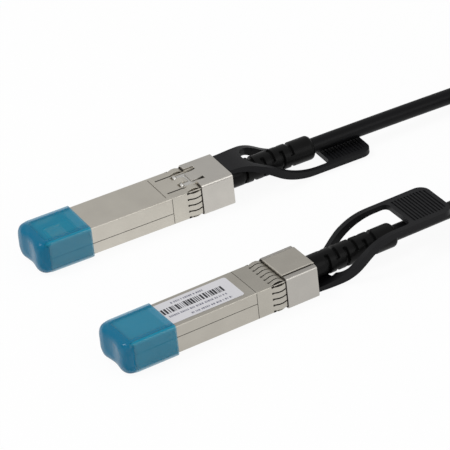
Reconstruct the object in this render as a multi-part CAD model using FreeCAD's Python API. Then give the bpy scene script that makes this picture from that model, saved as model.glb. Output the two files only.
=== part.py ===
import FreeCAD, Part
import math
import os

# Direct attach copper cable: one twin-axial cable with the same pluggable module on each end.
# Each plug is drawn in its own frame: X from the card end towards the cable, Z towards the
# label side, Y across. Plug B rests on its latch side, plug A on its label side.

# Names that end in BACK are distances before the rear end of the body, and names that end in
# PAST are distances behind the rear end of the sleeve. INSET is measured in from the body's side.

# Module body, two die cast half shells
BODY_W = 13.55
BODY_H = 8.5
BODY_L = 47.5
EDGE_R = 0.4
WALL_SIDE = 1.15
WALL_FACE = 1.0
PARTING_Z = 0.7
SEAM = 0.1
COVER_FRONT = 8.2
LATCH_WALL_FRONT = 10.4
NOSE_CHAMFER = 1.1
GROOVE_BACK = 10.6
GROOVE_W = 0.22
GROOVE_D = 0.15
GROOVE_INSET = 1.175
CAVITY_BACK = 9.5
LEDGE_FRONT = 12.0
LEDGE_BACK = 13.5
LEDGE_W = 0.7
POST_BACK = (22.5, 19.5)
CUT_SPARE = 1.0

# Latch boss and the channel of the release slide
BOSS_HALF_W = 1.3
BOSS_SHOULDER_BACK = 2.5
BOSS_L = 2.6
BOSS_TOP_L = 0.4
BOSS_RISE = 0.45
CHANNEL_BACK = 4.9
CHANNEL_HALF_W = 3.15
CHANNEL_D = 0.55
ISLAND_BACK = 1.4

# Spring finger collar
COLLAR_BACK = 9.2
COLLAR_BAND_L = 5.0
COLLAR_T = 0.2
PLATEAU_HALF_W = 3.7
PLATEAU_GAP = 0.15
FINGER_L = 3.9
FINGER_BULGE = 0.5
FINGER_TOP_L = 1.1
FINGER_PITCH = 1.9
FINGER_SLOT = 0.4
FINGER_INSET = 0.575

# Rear sleeve, and the cast land between its lips
SLEEVE_L = 9.75
SLEEVE_PROUD_SIDE = 0.15
SLEEVE_T = 0.3
SLEEVE_PROUD_TOP = 0.54
SLEEVE_PROUD_BOTTOM = 0.74
SLEEVE_BEND_R = 0.9
SLEEVE_LIP_INSET = 1.375
SLEEVE_FIT = 0.06
SLEEVE_SLOT = (2.2, 3.9)
SLEEVE_SLOT_L = 2.8
TONGUE_REACH = 0.7
TONGUE_BEND_L = 1.6
LAND_LIP_GAP = 0.4
LAND_PROUD = 0.36
LAND_OVERHANG = 0.2
LAND_LIP_T = 0.4
LAND_BEVEL = 0.2
SHELL_REAR_GAP = 0.45

# Release slide and its return spring
SLIDE_HALF_W = 3.0
SLIDE_T = 0.45
SLIDE_GAP = 0.05
SLIDE_TAIL = 4.75
TINE_IN = 1.5
TINE_TIP_GAP = 0.7
TINE_RAMP_L = 1.1
TINE_RAMP_RISE = 0.4
LUG_GAP = 1.1
LUG_T = 0.4
LUG_HALF_W = 0.5
LUG_DEPTH = 1.05
SPRING_R = 0.42
SPRING_WIRE_R = 0.11
SPRING_L = 4.8
SPRING_TURNS = 6
SPRING_SIDES = 6
SPRING_CLEAR = 0.06

# Cable, crimp ring and strain relief
CABLE_D = 4.5
CRIMP_BACK = 2.9
CRIMP_L = 4.9
CRIMP_T = 0.25
BORE_CLEAR = 0.04
BOOT_WALL = 1.25
BOOT_SLIDE_GAP = 0.35
BOOT_END_PAST = 28.25
BOOT_END_BEVEL = 0.8
BOOT_SIDES = 24
BOOT_FLANGE_L = 1.4
BOOT_FLANGE_INSET = 0.15
BOOT_NECK_L = 2.35
BOOT_NECK_INSET = 0.6
BOOT_SLOT_PAST = 6.0
BOOT_SLOT_PITCH = 3.0
BOOT_SLOTS = 6
BOOT_SLOT_W = 1.0
BOOT_SLOT_ANGLE = 130.0
BOOT_SLOT_FLOOR = 0.35
BOOT_SLOT_SIDES = 3

# Pull tab
TAB_FRONT_GAP = 0.1
TAB_PLATE_MARGIN = 1.9
TAB_PLATE_PAST = 2.75
TAB_RISE_L = 24.0
TAB_TOP_LEAD = 2.0
TAB_PAD_T = 1.6
TAB_END_PAST = 43.75
TAB_BOOT_MARGIN = 4.4
TAB_FLARE_PAST = (0.4, 16.0)
TAB_CORNER_R = 3.2
TAB_HOLE_PAST = (6.65, 30.75)
TAB_ARM_W = 1.6
TAB_HOLE_WAIST = 0.3
TAB_HOLE_R = 1.6
TAB_BOOT_CLEAR = 0.2
PAD_CABLE_CLEAR = 0.45
PAD_B_ABOVE_A = 1.3
RIB_PAST = (31.95, 42.15)
RIB_MARGIN = 1.9
RIB_PITCH = 1.0
RIB_W = 0.5
RIB_D = 0.3

# Paddle card and what is on it
CARD_FRONT = 3.2
CARD_STEP = 9.0
CARD_BACK = 12.5
CARD_T = 1.0
CARD_LIFT = 1.25
CARD_NOSE_INSET = 2.175
CARD_INSET = 1.275
CARD_BEVEL = 0.3
CONTACTS = 10
CONTACT_MARGIN = 1.0
CONTACT_GAP = 0.25
CONTACT_L = 4.6
CONTACT_T = 0.05
CHIP_X = 17.0
CHIP_SIZE = (5.0, 3.9, 1.3)
PAIR_ON_CARD = 3.0
PAIR_W = 2.4
PAIR_T = 1.2
PAIR_MEET = 0.62

# Label on plug B
LABEL_FRONT = 11.3
LABEL_BACK = 12.0
LABEL_INSET = 1.475
LABEL_T = 0.08
LABEL_R = 0.8

# Dust cap
CAP_WALL = 0.5
CAP_CLEAR = 0.1
CAP_FRONT = -3.5
CAP_REAR = 12.9
CAP_FRONT_T = 0.9
CAP_R = 1.7
CAP_DISH = 0.35
CAP_DISH_HALF_W = 5.6
CAP_DISH_HALF_H = 3.2

# Where the two plugs lie, plug A's origin being given from plug B's
PLUG_A_X = 6.83
PLUG_A_Y = 56.93
PLUG_A_YAW = -2.8

# Free cable: routes from each boot's end, along its plug's axis, and the coil with its tie
LEAD_A = [(0, 0, 0), (26, 0, 0)]
LEAD_A_L = 74.0
LEAD_B = [(0, 0, 0), (23, 0, 0)]
LEAD_SPREAD = 2.0
COIL_TURNS = 4.5
COIL_LAYERS = 2
COIL_SIDES = 48
TIE_T = 0.6
TIE_AT = 60.0
TIE_ANGLE = 24.0

# Worked out from the sizes above: the body
HALF_W = BODY_W / 2
HALF_H = BODY_H / 2
CAVITY_HALF_W = HALF_W - WALL_SIDE - 0.025
CAVITY_HALF_H = HALF_H - WALL_FACE
CAVITY_REAR = BODY_L - CAVITY_BACK
GROOVE_X = BODY_L - GROOVE_BACK
GROOVE_HALF_L = HALF_W - GROOVE_INSET
LEDGE_X = (LEDGE_FRONT, BODY_L - LEDGE_BACK)
POST_X = (BODY_L - POST_BACK[0], BODY_L - POST_BACK[1])
BOSS_SHOULDER_X = BODY_L - BOSS_SHOULDER_BACK
CHANNEL_FRONT = BODY_L - CHANNEL_BACK
CHANNEL_FLOOR = CHANNEL_D - HALF_H
ISLAND_REAR = BODY_L - ISLAND_BACK
COLLAR_FRONT = BODY_L - COLLAR_BACK
COLLAR_MID = COLLAR_FRONT + COLLAR_BAND_L
COLLAR_LIP_IN = PLATEAU_HALF_W + PLATEAU_GAP
FINGER_EDGE = HALF_W - FINGER_INSET

# The sleeve, the land and the slide
SLEEVE_END = BODY_L + SLEEVE_L
SLEEVE_W = BODY_W + 2 * SLEEVE_PROUD_SIDE
SLEEVE_TOP = HALF_H + SLEEVE_PROUD_TOP
SLEEVE_BOTTOM = -HALF_H - SLEEVE_PROUD_BOTTOM
SLEEVE_LIP_IN = HALF_W - SLEEVE_LIP_INSET
LAND_HALF_W = SLEEVE_LIP_IN - LAND_LIP_GAP
LAND_TOP = SLEEVE_TOP + LAND_PROUD
SHELL_REAR = SLEEVE_END - SHELL_REAR_GAP
SLIDE_Z = (CHANNEL_FLOOR - SLIDE_GAP - SLIDE_T, CHANNEL_FLOOR - SLIDE_GAP)
LUG_X = ISLAND_REAR + LUG_GAP
SPRING_X = LUG_X + LUG_T + SPRING_CLEAR
SPRING_Z = SLIDE_Z[1] + SPRING_R + SPRING_WIRE_R + 0.04
SPRING_SLOT_END = SPRING_X + SPRING_L + SPRING_CLEAR

# The cable, its ring and its boot, whose height keeps the boot clear of the slide
CABLE_R = CABLE_D / 2
BOOT_R = CABLE_R + BOOT_WALL
CABLE_Z = SLIDE_Z[1] + BOOT_SLIDE_GAP + BOOT_R
CRIMP_X = BODY_L - CRIMP_BACK
CRIMP_HALF_FLATS = CABLE_R + CRIMP_T
CRIMP_CORNER_R = CRIMP_HALF_FLATS / math.cos(math.pi / 6)
WIRE_WAY_HALF_W = PAIR_W / 2 + 0.8
BARREL_X = SHELL_REAR + 0.05
BOOT_END = SLEEVE_END + BOOT_END_PAST
BOOT_FLANGE_X = BARREL_X - BOOT_NECK_L - BOOT_FLANGE_L
BOOT_FLANGE_HALF = BOOT_R - BOOT_FLANGE_INSET
BOOT_NECK_HALF = BOOT_R - BOOT_NECK_INSET
BOOT_SLOT_X = SLEEVE_END + BOOT_SLOT_PAST
BOOT_SLOT_FLOOR_R = CABLE_R + BOOT_SLOT_FLOOR
COIL_BAND = CABLE_D * (1 + COIL_TURNS / COIL_LAYERS)

# The pull tab
TAB_PLATE_Z = (SLEEVE_BOTTOM, CABLE_Z - BOOT_R - TAB_BOOT_CLEAR)
TAB_PLATE_HALF_W = SLIDE_HALF_W + TAB_PLATE_MARGIN
TAB_PLATE_END = SLEEVE_END + TAB_PLATE_PAST
TAB_HALF_W = BOOT_R + TAB_BOOT_MARGIN
TAB_FLARE = (SLEEVE_END + TAB_FLARE_PAST[0], SLEEVE_END + TAB_FLARE_PAST[1])
TAB_HOLE_START = SLEEVE_END + TAB_HOLE_PAST[0]
TAB_HOLE_END = SLEEVE_END + TAB_HOLE_PAST[1]
TAB_HOLE_FRONT_R = TAB_HALF_W - TAB_ARM_W - TAB_HOLE_WAIST
TAB_END = SLEEVE_END + TAB_END_PAST
PAD_TOP_A = CABLE_Z + CABLE_R + PAD_CABLE_CLEAR + TAB_PAD_T
PAD_TOP_B = PAD_TOP_A + PAD_B_ABOVE_A
RIB_X = (SLEEVE_END + RIB_PAST[0], SLEEVE_END + RIB_PAST[1])
RIB_HALF_L = TAB_HALF_W - RIB_MARGIN

# The card, the pairs, the label and the cap
CARD_REAR = BODY_L - CARD_BACK
CARD_Z = CARD_LIFT - CAVITY_HALF_H
CARD_HALF_W = HALF_W - CARD_INSET
CARD_NOSE_HALF_W = HALF_W - CARD_NOSE_INSET
CONTACT_PITCH = 2 * (CARD_NOSE_HALF_W - CONTACT_MARGIN) / (CONTACTS - 1)
CONTACT_W = CONTACT_PITCH - CONTACT_GAP
PAIR_START = CARD_REAR - PAIR_ON_CARD
LABEL_X = (LABEL_FRONT, BODY_L - LABEL_BACK)
LABEL_HALF_W = HALF_W - LABEL_INSET
CAP_HALF_W = HALF_W + CAP_CLEAR + CAP_WALL
CAP_HALF_H = HALF_H + CAP_CLEAR + CAP_WALL

# How high each plug's middle lies
REST_B = max(CAP_HALF_H, -SLEEVE_BOTTOM)
REST_A = max(CAP_HALF_H, LAND_TOP)


def block(x, y, z):
    """A box from its low and high limits on each axis."""
    return Part.makeBox(x[1] - x[0], y[1] - y[0], z[1] - z[0], FreeCAD.Vector(x[0], y[0], z[0]))


def mid_block(x, half_w, z):
    """A box centred across the plug."""
    return block(x, (-half_w, half_w), z)


def both_sides(x, y, z):
    """The same box on each side of the plug."""
    return [block(x, y, z), block(x, (-y[1], -y[0]), z)]


def rod(x, radius):
    """A round bar along the cable's axis."""
    return Part.makeCylinder(radius, x[1] - x[0], FreeCAD.Vector(x[0], 0, CABLE_Z), FreeCAD.Vector(1, 0, 0))


def square_bar(x, half):
    """A square bar along the cable's axis."""
    return mid_block(x, half, (CABLE_Z - half, CABLE_Z + half))


def around(x, radius, turn):
    """A point at a distance from the cable's axis, turned from +Y towards +Z by radians."""
    return FreeCAD.Vector(x, radius * math.cos(turn), CABLE_Z + radius * math.sin(turn))


def sided_bar(x, corner_r, sides):
    """A regular many-sided bar along the cable's axis, with corners on a circle."""
    corners = [around(x[0], corner_r, 2 * math.pi * index / sides) for index in range(sides)]
    return Part.Face(Part.makePolygon(corners + corners[:1])).extrude(FreeCAD.Vector(x[1] - x[0], 0, 0))


def upright_edges(shape, x):
    """The vertical edges of a shape at one place along X."""
    return [e for e in shape.Edges if all(abs(v.X - x) < 1e-6 for v in e.Vertexes)
            and abs(e.Vertexes[0].Z - e.Vertexes[-1].Z) > 1e-6]


def rounded_bar(x, half_w, z, radius):
    """A bar along X with its four long edges rounded."""
    bar = mid_block(x, half_w, z)
    long_edges = [e for e in bar.Edges if abs(e.Vertexes[0].X - e.Vertexes[-1].X) > 1e-6]
    return bar.makeFillet(radius, long_edges)


def side_prism(points, y):
    """A prism across the plug from an outline in X and Z."""
    wire = Part.makePolygon([FreeCAD.Vector(px, y[0], pz) for px, pz in points + points[:1]])
    return Part.Face(wire).extrude(FreeCAD.Vector(0, y[1] - y[0], 0))


def joined(shapes):
    """One shape fused from several."""
    return shapes[0].multiFuse(shapes[1:]).removeSplitter()


def cut_all(shape, tools):
    """The shape with every tool cut away."""
    return shape.cut(Part.makeCompound(tools))


def collar_recess():
    """The step in both shells that lets the collar lie flush, with the latch plateau left proud."""
    x = (COLLAR_FRONT, BODY_L)
    whole = mid_block(x, BODY_W, (-BODY_H, BODY_H))
    core = rounded_bar(x, HALF_W - COLLAR_T, (-HALF_H + COLLAR_T, HALF_H - COLLAR_T), EDGE_R - COLLAR_T)
    plateau = mid_block(x, PLATEAU_HALF_W, (-BODY_H, 0))
    return whole.cut(core).cut(plateau)


def cable_way():
    """The space that both shells leave for the wires, the crimp ring, the cable and the boot's root."""
    crimp = (CRIMP_X - 0.1, CRIMP_X + CRIMP_L + 0.1)
    neck = BOOT_FLANGE_X + BOOT_FLANGE_L
    return [
        mid_block((CAVITY_REAR, crimp[0]), WIRE_WAY_HALF_W, (CARD_Z - PAIR_T - BORE_CLEAR, CAVITY_HALF_H)),
        mid_block(crimp, CRIMP_CORNER_R + BORE_CLEAR,
                  (CABLE_Z - CRIMP_HALF_FLATS, CABLE_Z + CRIMP_HALF_FLATS)),
        square_bar((crimp[1], BOOT_FLANGE_X), CABLE_R + BORE_CLEAR),
        square_bar((BOOT_FLANGE_X, neck), BOOT_FLANGE_HALF),
        square_bar((neck, SHELL_REAR + CUT_SPARE), BOOT_NECK_HALF),
    ]


def seam_chamfer(side):
    """The small chamfer along the parting edge of one shell; side is +1 above the seam."""
    x = (COVER_FRONT, COLLAR_FRONT)
    tools = []
    for sign in (-1, 1):
        edge = sign * HALF_W
        corner = FreeCAD.Vector(x[0], edge, PARTING_Z)
        across = FreeCAD.Vector(x[0], edge - sign * SEAM, PARTING_Z)
        up = FreeCAD.Vector(x[0], edge, PARTING_Z + side * SEAM)
        face = Part.Face(Part.makePolygon([corner, across, up, corner]))
        tools.append(face.extrude(FreeCAD.Vector(x[1] - x[0], 0, 0)))
    return tools


def base_shell():
    """The latch side shell: the whole nose, the floor, the low sides and the latch boss."""
    bar = rounded_bar((0, BODY_L), HALF_W, (-HALF_H, HALF_H), EDGE_R)
    bar = bar.cut(collar_recess())
    rear_half_w = SLEEVE_W / 2 - SLEEVE_T - SLEEVE_FIT
    rear_z = (SLEEVE_BOTTOM + SLEEVE_T + SLEEVE_FIT, PARTING_Z)
    rear = rounded_bar((BODY_L, SHELL_REAR), rear_half_w, rear_z, EDGE_R)
    shell = joined([bar, rear])
    channel = mid_block((CHANNEL_FRONT, SHELL_REAR + CUT_SPARE), CHANNEL_HALF_W, (-BODY_H, CHANNEL_FLOOR))
    island = mid_block((CHANNEL_FRONT, ISLAND_REAR), BOSS_HALF_W + 0.05, (-BODY_H, CHANNEL_FLOOR))
    nose = [(0, -HALF_H), (NOSE_CHAMFER, -HALF_H), (0, -HALF_H + NOSE_CHAMFER)]
    tools = [
        mid_block((COVER_FRONT, SHELL_REAR + CUT_SPARE), BODY_W, (PARTING_Z, BODY_H)),
        mid_block((-CUT_SPARE, CAVITY_REAR), CAVITY_HALF_W, (-CAVITY_HALF_H, CAVITY_HALF_H)),
        mid_block((-CUT_SPARE, LATCH_WALL_FRONT), CAVITY_HALF_W, (-BODY_H, 0)),
        side_prism(nose, (-BODY_W, BODY_W)),
        mid_block((GROOVE_X, GROOVE_X + GROOVE_W), GROOVE_HALF_L, (-HALF_H - CUT_SPARE, -HALF_H + GROOVE_D)),
        channel.cut(island),
        mid_block((LUG_X - 0.1, SPRING_SLOT_END), SPRING_R + SPRING_WIRE_R + SPRING_CLEAR,
                  (CHANNEL_FLOOR - 0.1, SPRING_Z + SPRING_R + SPRING_WIRE_R + SPRING_CLEAR)),
    ]
    shell = cut_all(shell, tools + cable_way() + seam_chamfer(-1))
    boss = [
        (BOSS_SHOULDER_X - BOSS_L, -HALF_H),
        (BOSS_SHOULDER_X - BOSS_TOP_L, -HALF_H - BOSS_RISE),
        (BOSS_SHOULDER_X, -HALF_H - BOSS_RISE),
        (BOSS_SHOULDER_X, -HALF_H),
    ]
    ledges = both_sides(LEDGE_X, (CAVITY_HALF_W - LEDGE_W, CAVITY_HALF_W), (-CAVITY_HALF_H, CARD_Z))
    return joined([shell, side_prism(boss, (-BOSS_HALF_W, BOSS_HALF_W))] + ledges)


def cover_shell():
    """The label side shell, with the land that stands between the sleeve's lips."""
    bar = rounded_bar((COVER_FRONT, BODY_L), HALF_W, (-HALF_H, HALF_H), EDGE_R)
    bar = bar.cut(collar_recess())
    rear_half_w = SLEEVE_W / 2 - SLEEVE_T - SLEEVE_FIT
    rear_top = SLEEVE_TOP - SLEEVE_T - SLEEVE_FIT
    rear = rounded_bar((BODY_L, SHELL_REAR), rear_half_w, (-rear_top, rear_top), EDGE_R)
    land_x = (BODY_L - LAND_OVERHANG, SLEEVE_END + LAND_OVERHANG)
    land = mid_block(land_x, LAND_HALF_W, (LAND_TOP - LAND_LIP_T, LAND_TOP))
    top_edges = [e for e in land.Edges if all(v.Z > LAND_TOP - 1e-6 for v in e.Vertexes)]
    land = land.makeChamfer(LAND_BEVEL, top_edges)
    root = mid_block((land_x[0], SHELL_REAR), LAND_HALF_W, (rear_top - LAND_LIP_T, LAND_TOP - LAND_LIP_T))
    shell = joined([bar, rear, root, land])
    tools = [
        mid_block((COVER_FRONT - CUT_SPARE, SHELL_REAR + CUT_SPARE), BODY_W, (-BODY_H, PARTING_Z)),
        mid_block((COVER_FRONT - CUT_SPARE, CAVITY_REAR), CAVITY_HALF_W, (-CAVITY_HALF_H, CAVITY_HALF_H)),
    ]
    shell = cut_all(shell, tools + cable_way() + seam_chamfer(1))
    post_y = (CARD_HALF_W - LEDGE_W, CARD_HALF_W - 0.1)
    posts = both_sides(POST_X, post_y, (CARD_Z + CARD_T, CAVITY_HALF_H))
    return joined([shell] + posts)


def finger(across, outward, start):
    """One spring finger: a raised strip of sheet, wide between the two limits of across.

    outward is the Y or Z direction that the finger bulges towards, start its resting face.
    """
    ends = (COLLAR_MID, COLLAR_MID + FINGER_L)
    middle = (ends[0] + ends[1]) / 2
    outer = [(ends[0], 0), (middle - FINGER_TOP_L / 2, FINGER_BULGE),
             (middle + FINGER_TOP_L / 2, FINGER_BULGE), (ends[1], 0)]
    inner = [(x, rise - COLLAR_T) for x, rise in reversed(outer)]
    corners = [FreeCAD.Vector(x, 0, 0) + outward * (start + rise) for x, rise in outer + inner]
    face = Part.Face(Part.makePolygon(corners + corners[:1]))
    sideways = FreeCAD.Vector(0, 1, 0) if abs(outward.y) < 0.5 else FreeCAD.Vector(0, 0, 1)
    face.translate(sideways * across[0])
    return face.extrude(sideways * (across[1] - across[0]))


def finger_spans(limit):
    """The widths left between slots, which lie half a pitch each side of the middle."""
    spans = []
    left = -limit
    slot = -math.floor(limit / FINGER_PITCH - 0.5) * FINGER_PITCH - FINGER_PITCH / 2
    while slot < limit:
        if slot - FINGER_SLOT / 2 - left > FINGER_SLOT:
            spans.append((left, slot - FINGER_SLOT / 2))
        left = slot + FINGER_SLOT / 2
        slot += FINGER_PITCH
    if limit - left > FINGER_SLOT:
        spans.append((left, limit))
    return spans


def emi_collar():
    """The spring sheet round the shells: a band, two lips on the latch side, and its fingers."""
    x = (COLLAR_FRONT, COLLAR_MID)
    band = rounded_bar(x, HALF_W, (-HALF_H, HALF_H), EDGE_R)
    core = rounded_bar(x, HALF_W - COLLAR_T, (-HALF_H + COLLAR_T, HALF_H - COLLAR_T), EDGE_R - COLLAR_T)
    band = band.cut(core).cut(mid_block(x, COLLAR_LIP_IN, (-BODY_H, 0)))
    fingers = [finger(span, FreeCAD.Vector(0, 0, 1), HALF_H) for span in finger_spans(FINGER_EDGE)]
    side_limit = 2 * FINGER_PITCH - FINGER_SLOT / 2
    for row in range(-2, 2):
        low = row * FINGER_PITCH + FINGER_SLOT / 2
        high = min(low + FINGER_PITCH - FINGER_SLOT, side_limit)
        for sign in (-1, 1):
            fingers.append(finger((low, high), FreeCAD.Vector(0, sign, 0), HALF_W))
    lip = (COLLAR_LIP_IN + FINGER_SLOT, FINGER_EDGE)
    for span in (lip, (-lip[1], -lip[0])):
        fingers.append(finger(span, FreeCAD.Vector(0, 0, -1), HALF_H))
    return joined([band] + fingers)


def rear_sleeve():
    """The folded sheet round the back of the shells, its lips and its bent latch tongue."""
    x = (BODY_L, SLEEVE_END)
    half_w = SLEEVE_W / 2
    outer = rounded_bar(x, half_w, (SLEEVE_BOTTOM, SLEEVE_TOP), SLEEVE_BEND_R)
    inner = rounded_bar(x, half_w - SLEEVE_T, (SLEEVE_BOTTOM + SLEEVE_T, SLEEVE_TOP - SLEEVE_T),
                        SLEEVE_BEND_R - SLEEVE_T)
    slot_end = BODY_L + SLEEVE_SLOT_L
    tools = [
        mid_block((BODY_L - CUT_SPARE, SLEEVE_END + CUT_SPARE), SLEEVE_LIP_IN, (0, BODY_H)),
        mid_block((BODY_L - CUT_SPARE, slot_end), SLEEVE_SLOT[1], (-BODY_H, 0)),
    ]
    sheet = cut_all(outer.cut(inner), tools)
    tongue_face = -HALF_H
    tip = BODY_L - TONGUE_REACH
    bend = tip + TONGUE_BEND_L
    tongue = [
        (slot_end + 0.2, SLEEVE_BOTTOM), (slot_end, SLEEVE_BOTTOM), (bend, tongue_face - SLEEVE_T),
        (tip, tongue_face - SLEEVE_T), (tip, tongue_face), (bend, tongue_face),
        (slot_end, SLEEVE_BOTTOM + SLEEVE_T), (slot_end + 0.2, SLEEVE_BOTTOM + SLEEVE_T),
    ]
    return joined([sheet, side_prism(tongue, (-SLEEVE_SLOT[0], SLEEVE_SLOT[0]))])


def release_slide():
    """The sheet that frees the latch: two tines beside the boss, a lug for the spring, a tail."""
    tip = CHANNEL_FRONT + TINE_TIP_GAP
    tail = SLEEVE_END + SLIDE_TAIL
    plate = mid_block((ISLAND_REAR + 0.1, tail), SLIDE_HALF_W, SLIDE_Z)
    tines = both_sides((tip, ISLAND_REAR + 0.1), (TINE_IN, SLIDE_HALF_W), SLIDE_Z)
    ramp = [(tip, SLIDE_Z[0]), (tip + TINE_RAMP_L / 2, SLIDE_Z[0] - TINE_RAMP_RISE),
            (tip + TINE_RAMP_L, SLIDE_Z[0])]
    ramps = [side_prism(ramp, (TINE_IN, SLIDE_HALF_W)), side_prism(ramp, (-SLIDE_HALF_W, -TINE_IN))]
    lug = mid_block((LUG_X, LUG_X + LUG_T), LUG_HALF_W, (SLIDE_Z[0], SLIDE_Z[1] + LUG_DEPTH))
    return joined([plate, lug] + tines + ramps)


def return_spring():
    """The small spring between the slide's lug and the end of its slot in the base shell.

    Its wire is square and its turns are drawn with flats, because it is too small and too well
    hidden to need more.
    """
    flats = SPRING_TURNS * SPRING_SIDES
    rise = (SPRING_L - 2 * SPRING_WIRE_R) / flats
    points = []
    for index in range(flats + 1):
        angle = 2 * math.pi * index / SPRING_SIDES
        points.append(FreeCAD.Vector(SPRING_X + SPRING_WIRE_R + index * rise,
                                     SPRING_R * math.cos(angle), SPRING_Z + SPRING_R * math.sin(angle)))
    half = SPRING_WIRE_R
    corners = [points[0] + FreeCAD.Vector(a * half, b * half, 0)
               for a, b in ((-1, -1), (1, -1), (1, 1), (-1, 1))]
    section = Part.makePolygon(corners + corners[:1])
    path = Part.makePolygon(points)
    sweep = Part.BRepOffsetAPI.MakePipeShell(path)
    sweep.setFrenetMode(True)
    sweep.add(section, False, False)
    sweep.setTransitionMode(1)
    sweep.build()
    sweep.makeSolid()
    return sweep.shape()


def s_curve(start, end):
    """The edges of a smooth step that leaves and arrives along X: an arc, a short line, an arc."""
    along = FreeCAD.Vector(end.x - start.x, 0, 0)
    step = end - start - along
    slope = math.atan(2 * step.Length / along.Length)
    along.normalize()
    side = FreeCAD.Vector(step)
    side.normalize()
    radius = step.Length * math.cos(slope) / (2 * (1 - math.cos(slope)))

    def on_arc(corner, sense, angle):
        away = along * math.sin(angle) + side * (1 - math.cos(angle))
        return corner + away * (sense * radius)

    first = [on_arc(start, 1, angle) for angle in (0, slope / 2, slope)]
    last = [on_arc(end, -1, angle) for angle in (slope, slope / 2, 0)]
    return [Part.Arc(*first).toShape(), Part.makeLine(first[2], last[0]), Part.Arc(*last).toShape()]


def tab_side_face(pad_top):
    """The tab seen from the side: the flat plate, the rising arms and the pad."""
    front = SLEEVE_END + TAB_FRONT_GAP
    rise_end = TAB_PLATE_END + TAB_RISE_L
    low = [FreeCAD.Vector(px, -TAB_HALF_W - CUT_SPARE, pz) for px, pz in (
        (front, TAB_PLATE_Z[0]), (TAB_PLATE_END, TAB_PLATE_Z[0]),
        (rise_end, pad_top - TAB_PAD_T), (TAB_END, pad_top - TAB_PAD_T))]
    high = [FreeCAD.Vector(px, -TAB_HALF_W - CUT_SPARE, pz) for px, pz in (
        (TAB_END, pad_top), (rise_end - TAB_TOP_LEAD, pad_top),
        (TAB_PLATE_END - TAB_TOP_LEAD, TAB_PLATE_Z[1]), (front, TAB_PLATE_Z[1]))]
    straight = [(low[0], low[1]), (low[2], low[3]), (low[3], high[0]), (high[0], high[1]),
                (high[2], high[3]), (high[3], low[0])]
    edges = [Part.makeLine(*pair) for pair in straight] + s_curve(low[1], low[2]) + s_curve(high[2], high[1])
    return Part.Face(Part.Wire(Part.__sortEdges__(edges)))


def tab_plan(end, inset):
    """The tab's flared outline from above as a prism, drawn in from the sides by an inset."""
    front = SLEEVE_END + TAB_FRONT_GAP
    narrow, wide = TAB_PLATE_HALF_W - inset, TAB_HALF_W - inset
    edges = []
    for sign in (-1, 1):
        corners = [FreeCAD.Vector(px, sign * half, -BODY_H) for px, half in (
            (front, narrow), (TAB_FLARE[0], narrow), (TAB_FLARE[1], wide), (end, wide))]
        edges += [Part.makeLine(*corners[:2])] + s_curve(*corners[1:3]) + [Part.makeLine(*corners[2:])]
    for x, half in ((front, narrow), (end, wide)):
        edges.append(Part.makeLine(FreeCAD.Vector(x, -half, -BODY_H), FreeCAD.Vector(x, half, -BODY_H)))
    return Part.Face(Part.Wire(Part.__sortEdges__(edges))).extrude(FreeCAD.Vector(0, 0, 3 * BODY_H))


def tab_hole():
    """The opening between the arms, and the trough that keeps the plate clear of the boot."""
    middle_x = TAB_HOLE_START + TAB_HOLE_FRONT_R
    round_front = Part.makeCylinder(TAB_HOLE_FRONT_R, 3 * BODY_H, FreeCAD.Vector(middle_x, 0, -BODY_H))
    rear = mid_block((middle_x, TAB_HOLE_END + CUT_SPARE), TAB_HALF_W, (-BODY_H, 2 * BODY_H))
    outline = tab_plan(TAB_HOLE_END, TAB_ARM_W)
    outline = outline.makeFillet(TAB_HOLE_R, upright_edges(outline, TAB_HOLE_END))
    trough = mid_block((SLEEVE_END, (TAB_HOLE_START + middle_x) / 2), TAB_PLATE_HALF_W - TAB_ARM_W,
                       (TAB_PLATE_Z[1], 2 * BODY_H))
    return joined([outline.common(round_front.fuse(rear)), trough])


def rib_half_length(x):
    """Half a rib groove's length, which follows the pad's rounded corners."""
    into_corner = max(0, x + RIB_W - (TAB_END - TAB_CORNER_R))
    return RIB_HALF_L - TAB_CORNER_R + math.sqrt(TAB_CORNER_R ** 2 - into_corner ** 2)


def pull_tab(pad_top, slide):
    """The soft tab moulded on the slide's tail, with its two arms and its ribbed pad."""
    plan = tab_plan(TAB_END, 0)
    plan = plan.makeFillet(TAB_CORNER_R, upright_edges(plan, TAB_END))
    tab = tab_side_face(pad_top).extrude(FreeCAD.Vector(0, 2 * (TAB_HALF_W + CUT_SPARE), 0)).common(plan)
    grooves = []
    x = RIB_X[0]
    while x < RIB_X[1]:
        for low in (pad_top - RIB_D, pad_top - TAB_PAD_T - RIB_D):
            grooves.append(mid_block((x, x + RIB_W), rib_half_length(x), (low, low + 2 * RIB_D)))
        x += RIB_PITCH
    return cut_all(tab, [tab_hole(), slide] + grooves)


def slot_sector(x, middle_angle):
    """A slot of the boot: part of a ring, centred on an angle from +Y towards +Z."""
    start = x - BOOT_SLOT_W / 2
    half = math.radians(BOOT_SLOT_ANGLE / 2)
    first = math.radians(middle_angle) - half
    floor_r = BOOT_SLOT_FLOOR_R / math.cos(half / BOOT_SLOT_SIDES)
    corners = [around(start, floor_r, first + 2 * half * index / BOOT_SLOT_SIDES)
               for index in range(BOOT_SLOT_SIDES + 1)]
    corners += [around(start, 3 * BOOT_R, first + half * index) for index in (2, 1, 0)]
    return Part.Face(Part.makePolygon(corners + corners[:1])).extrude(FreeCAD.Vector(BOOT_SLOT_W, 0, 0))


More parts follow.
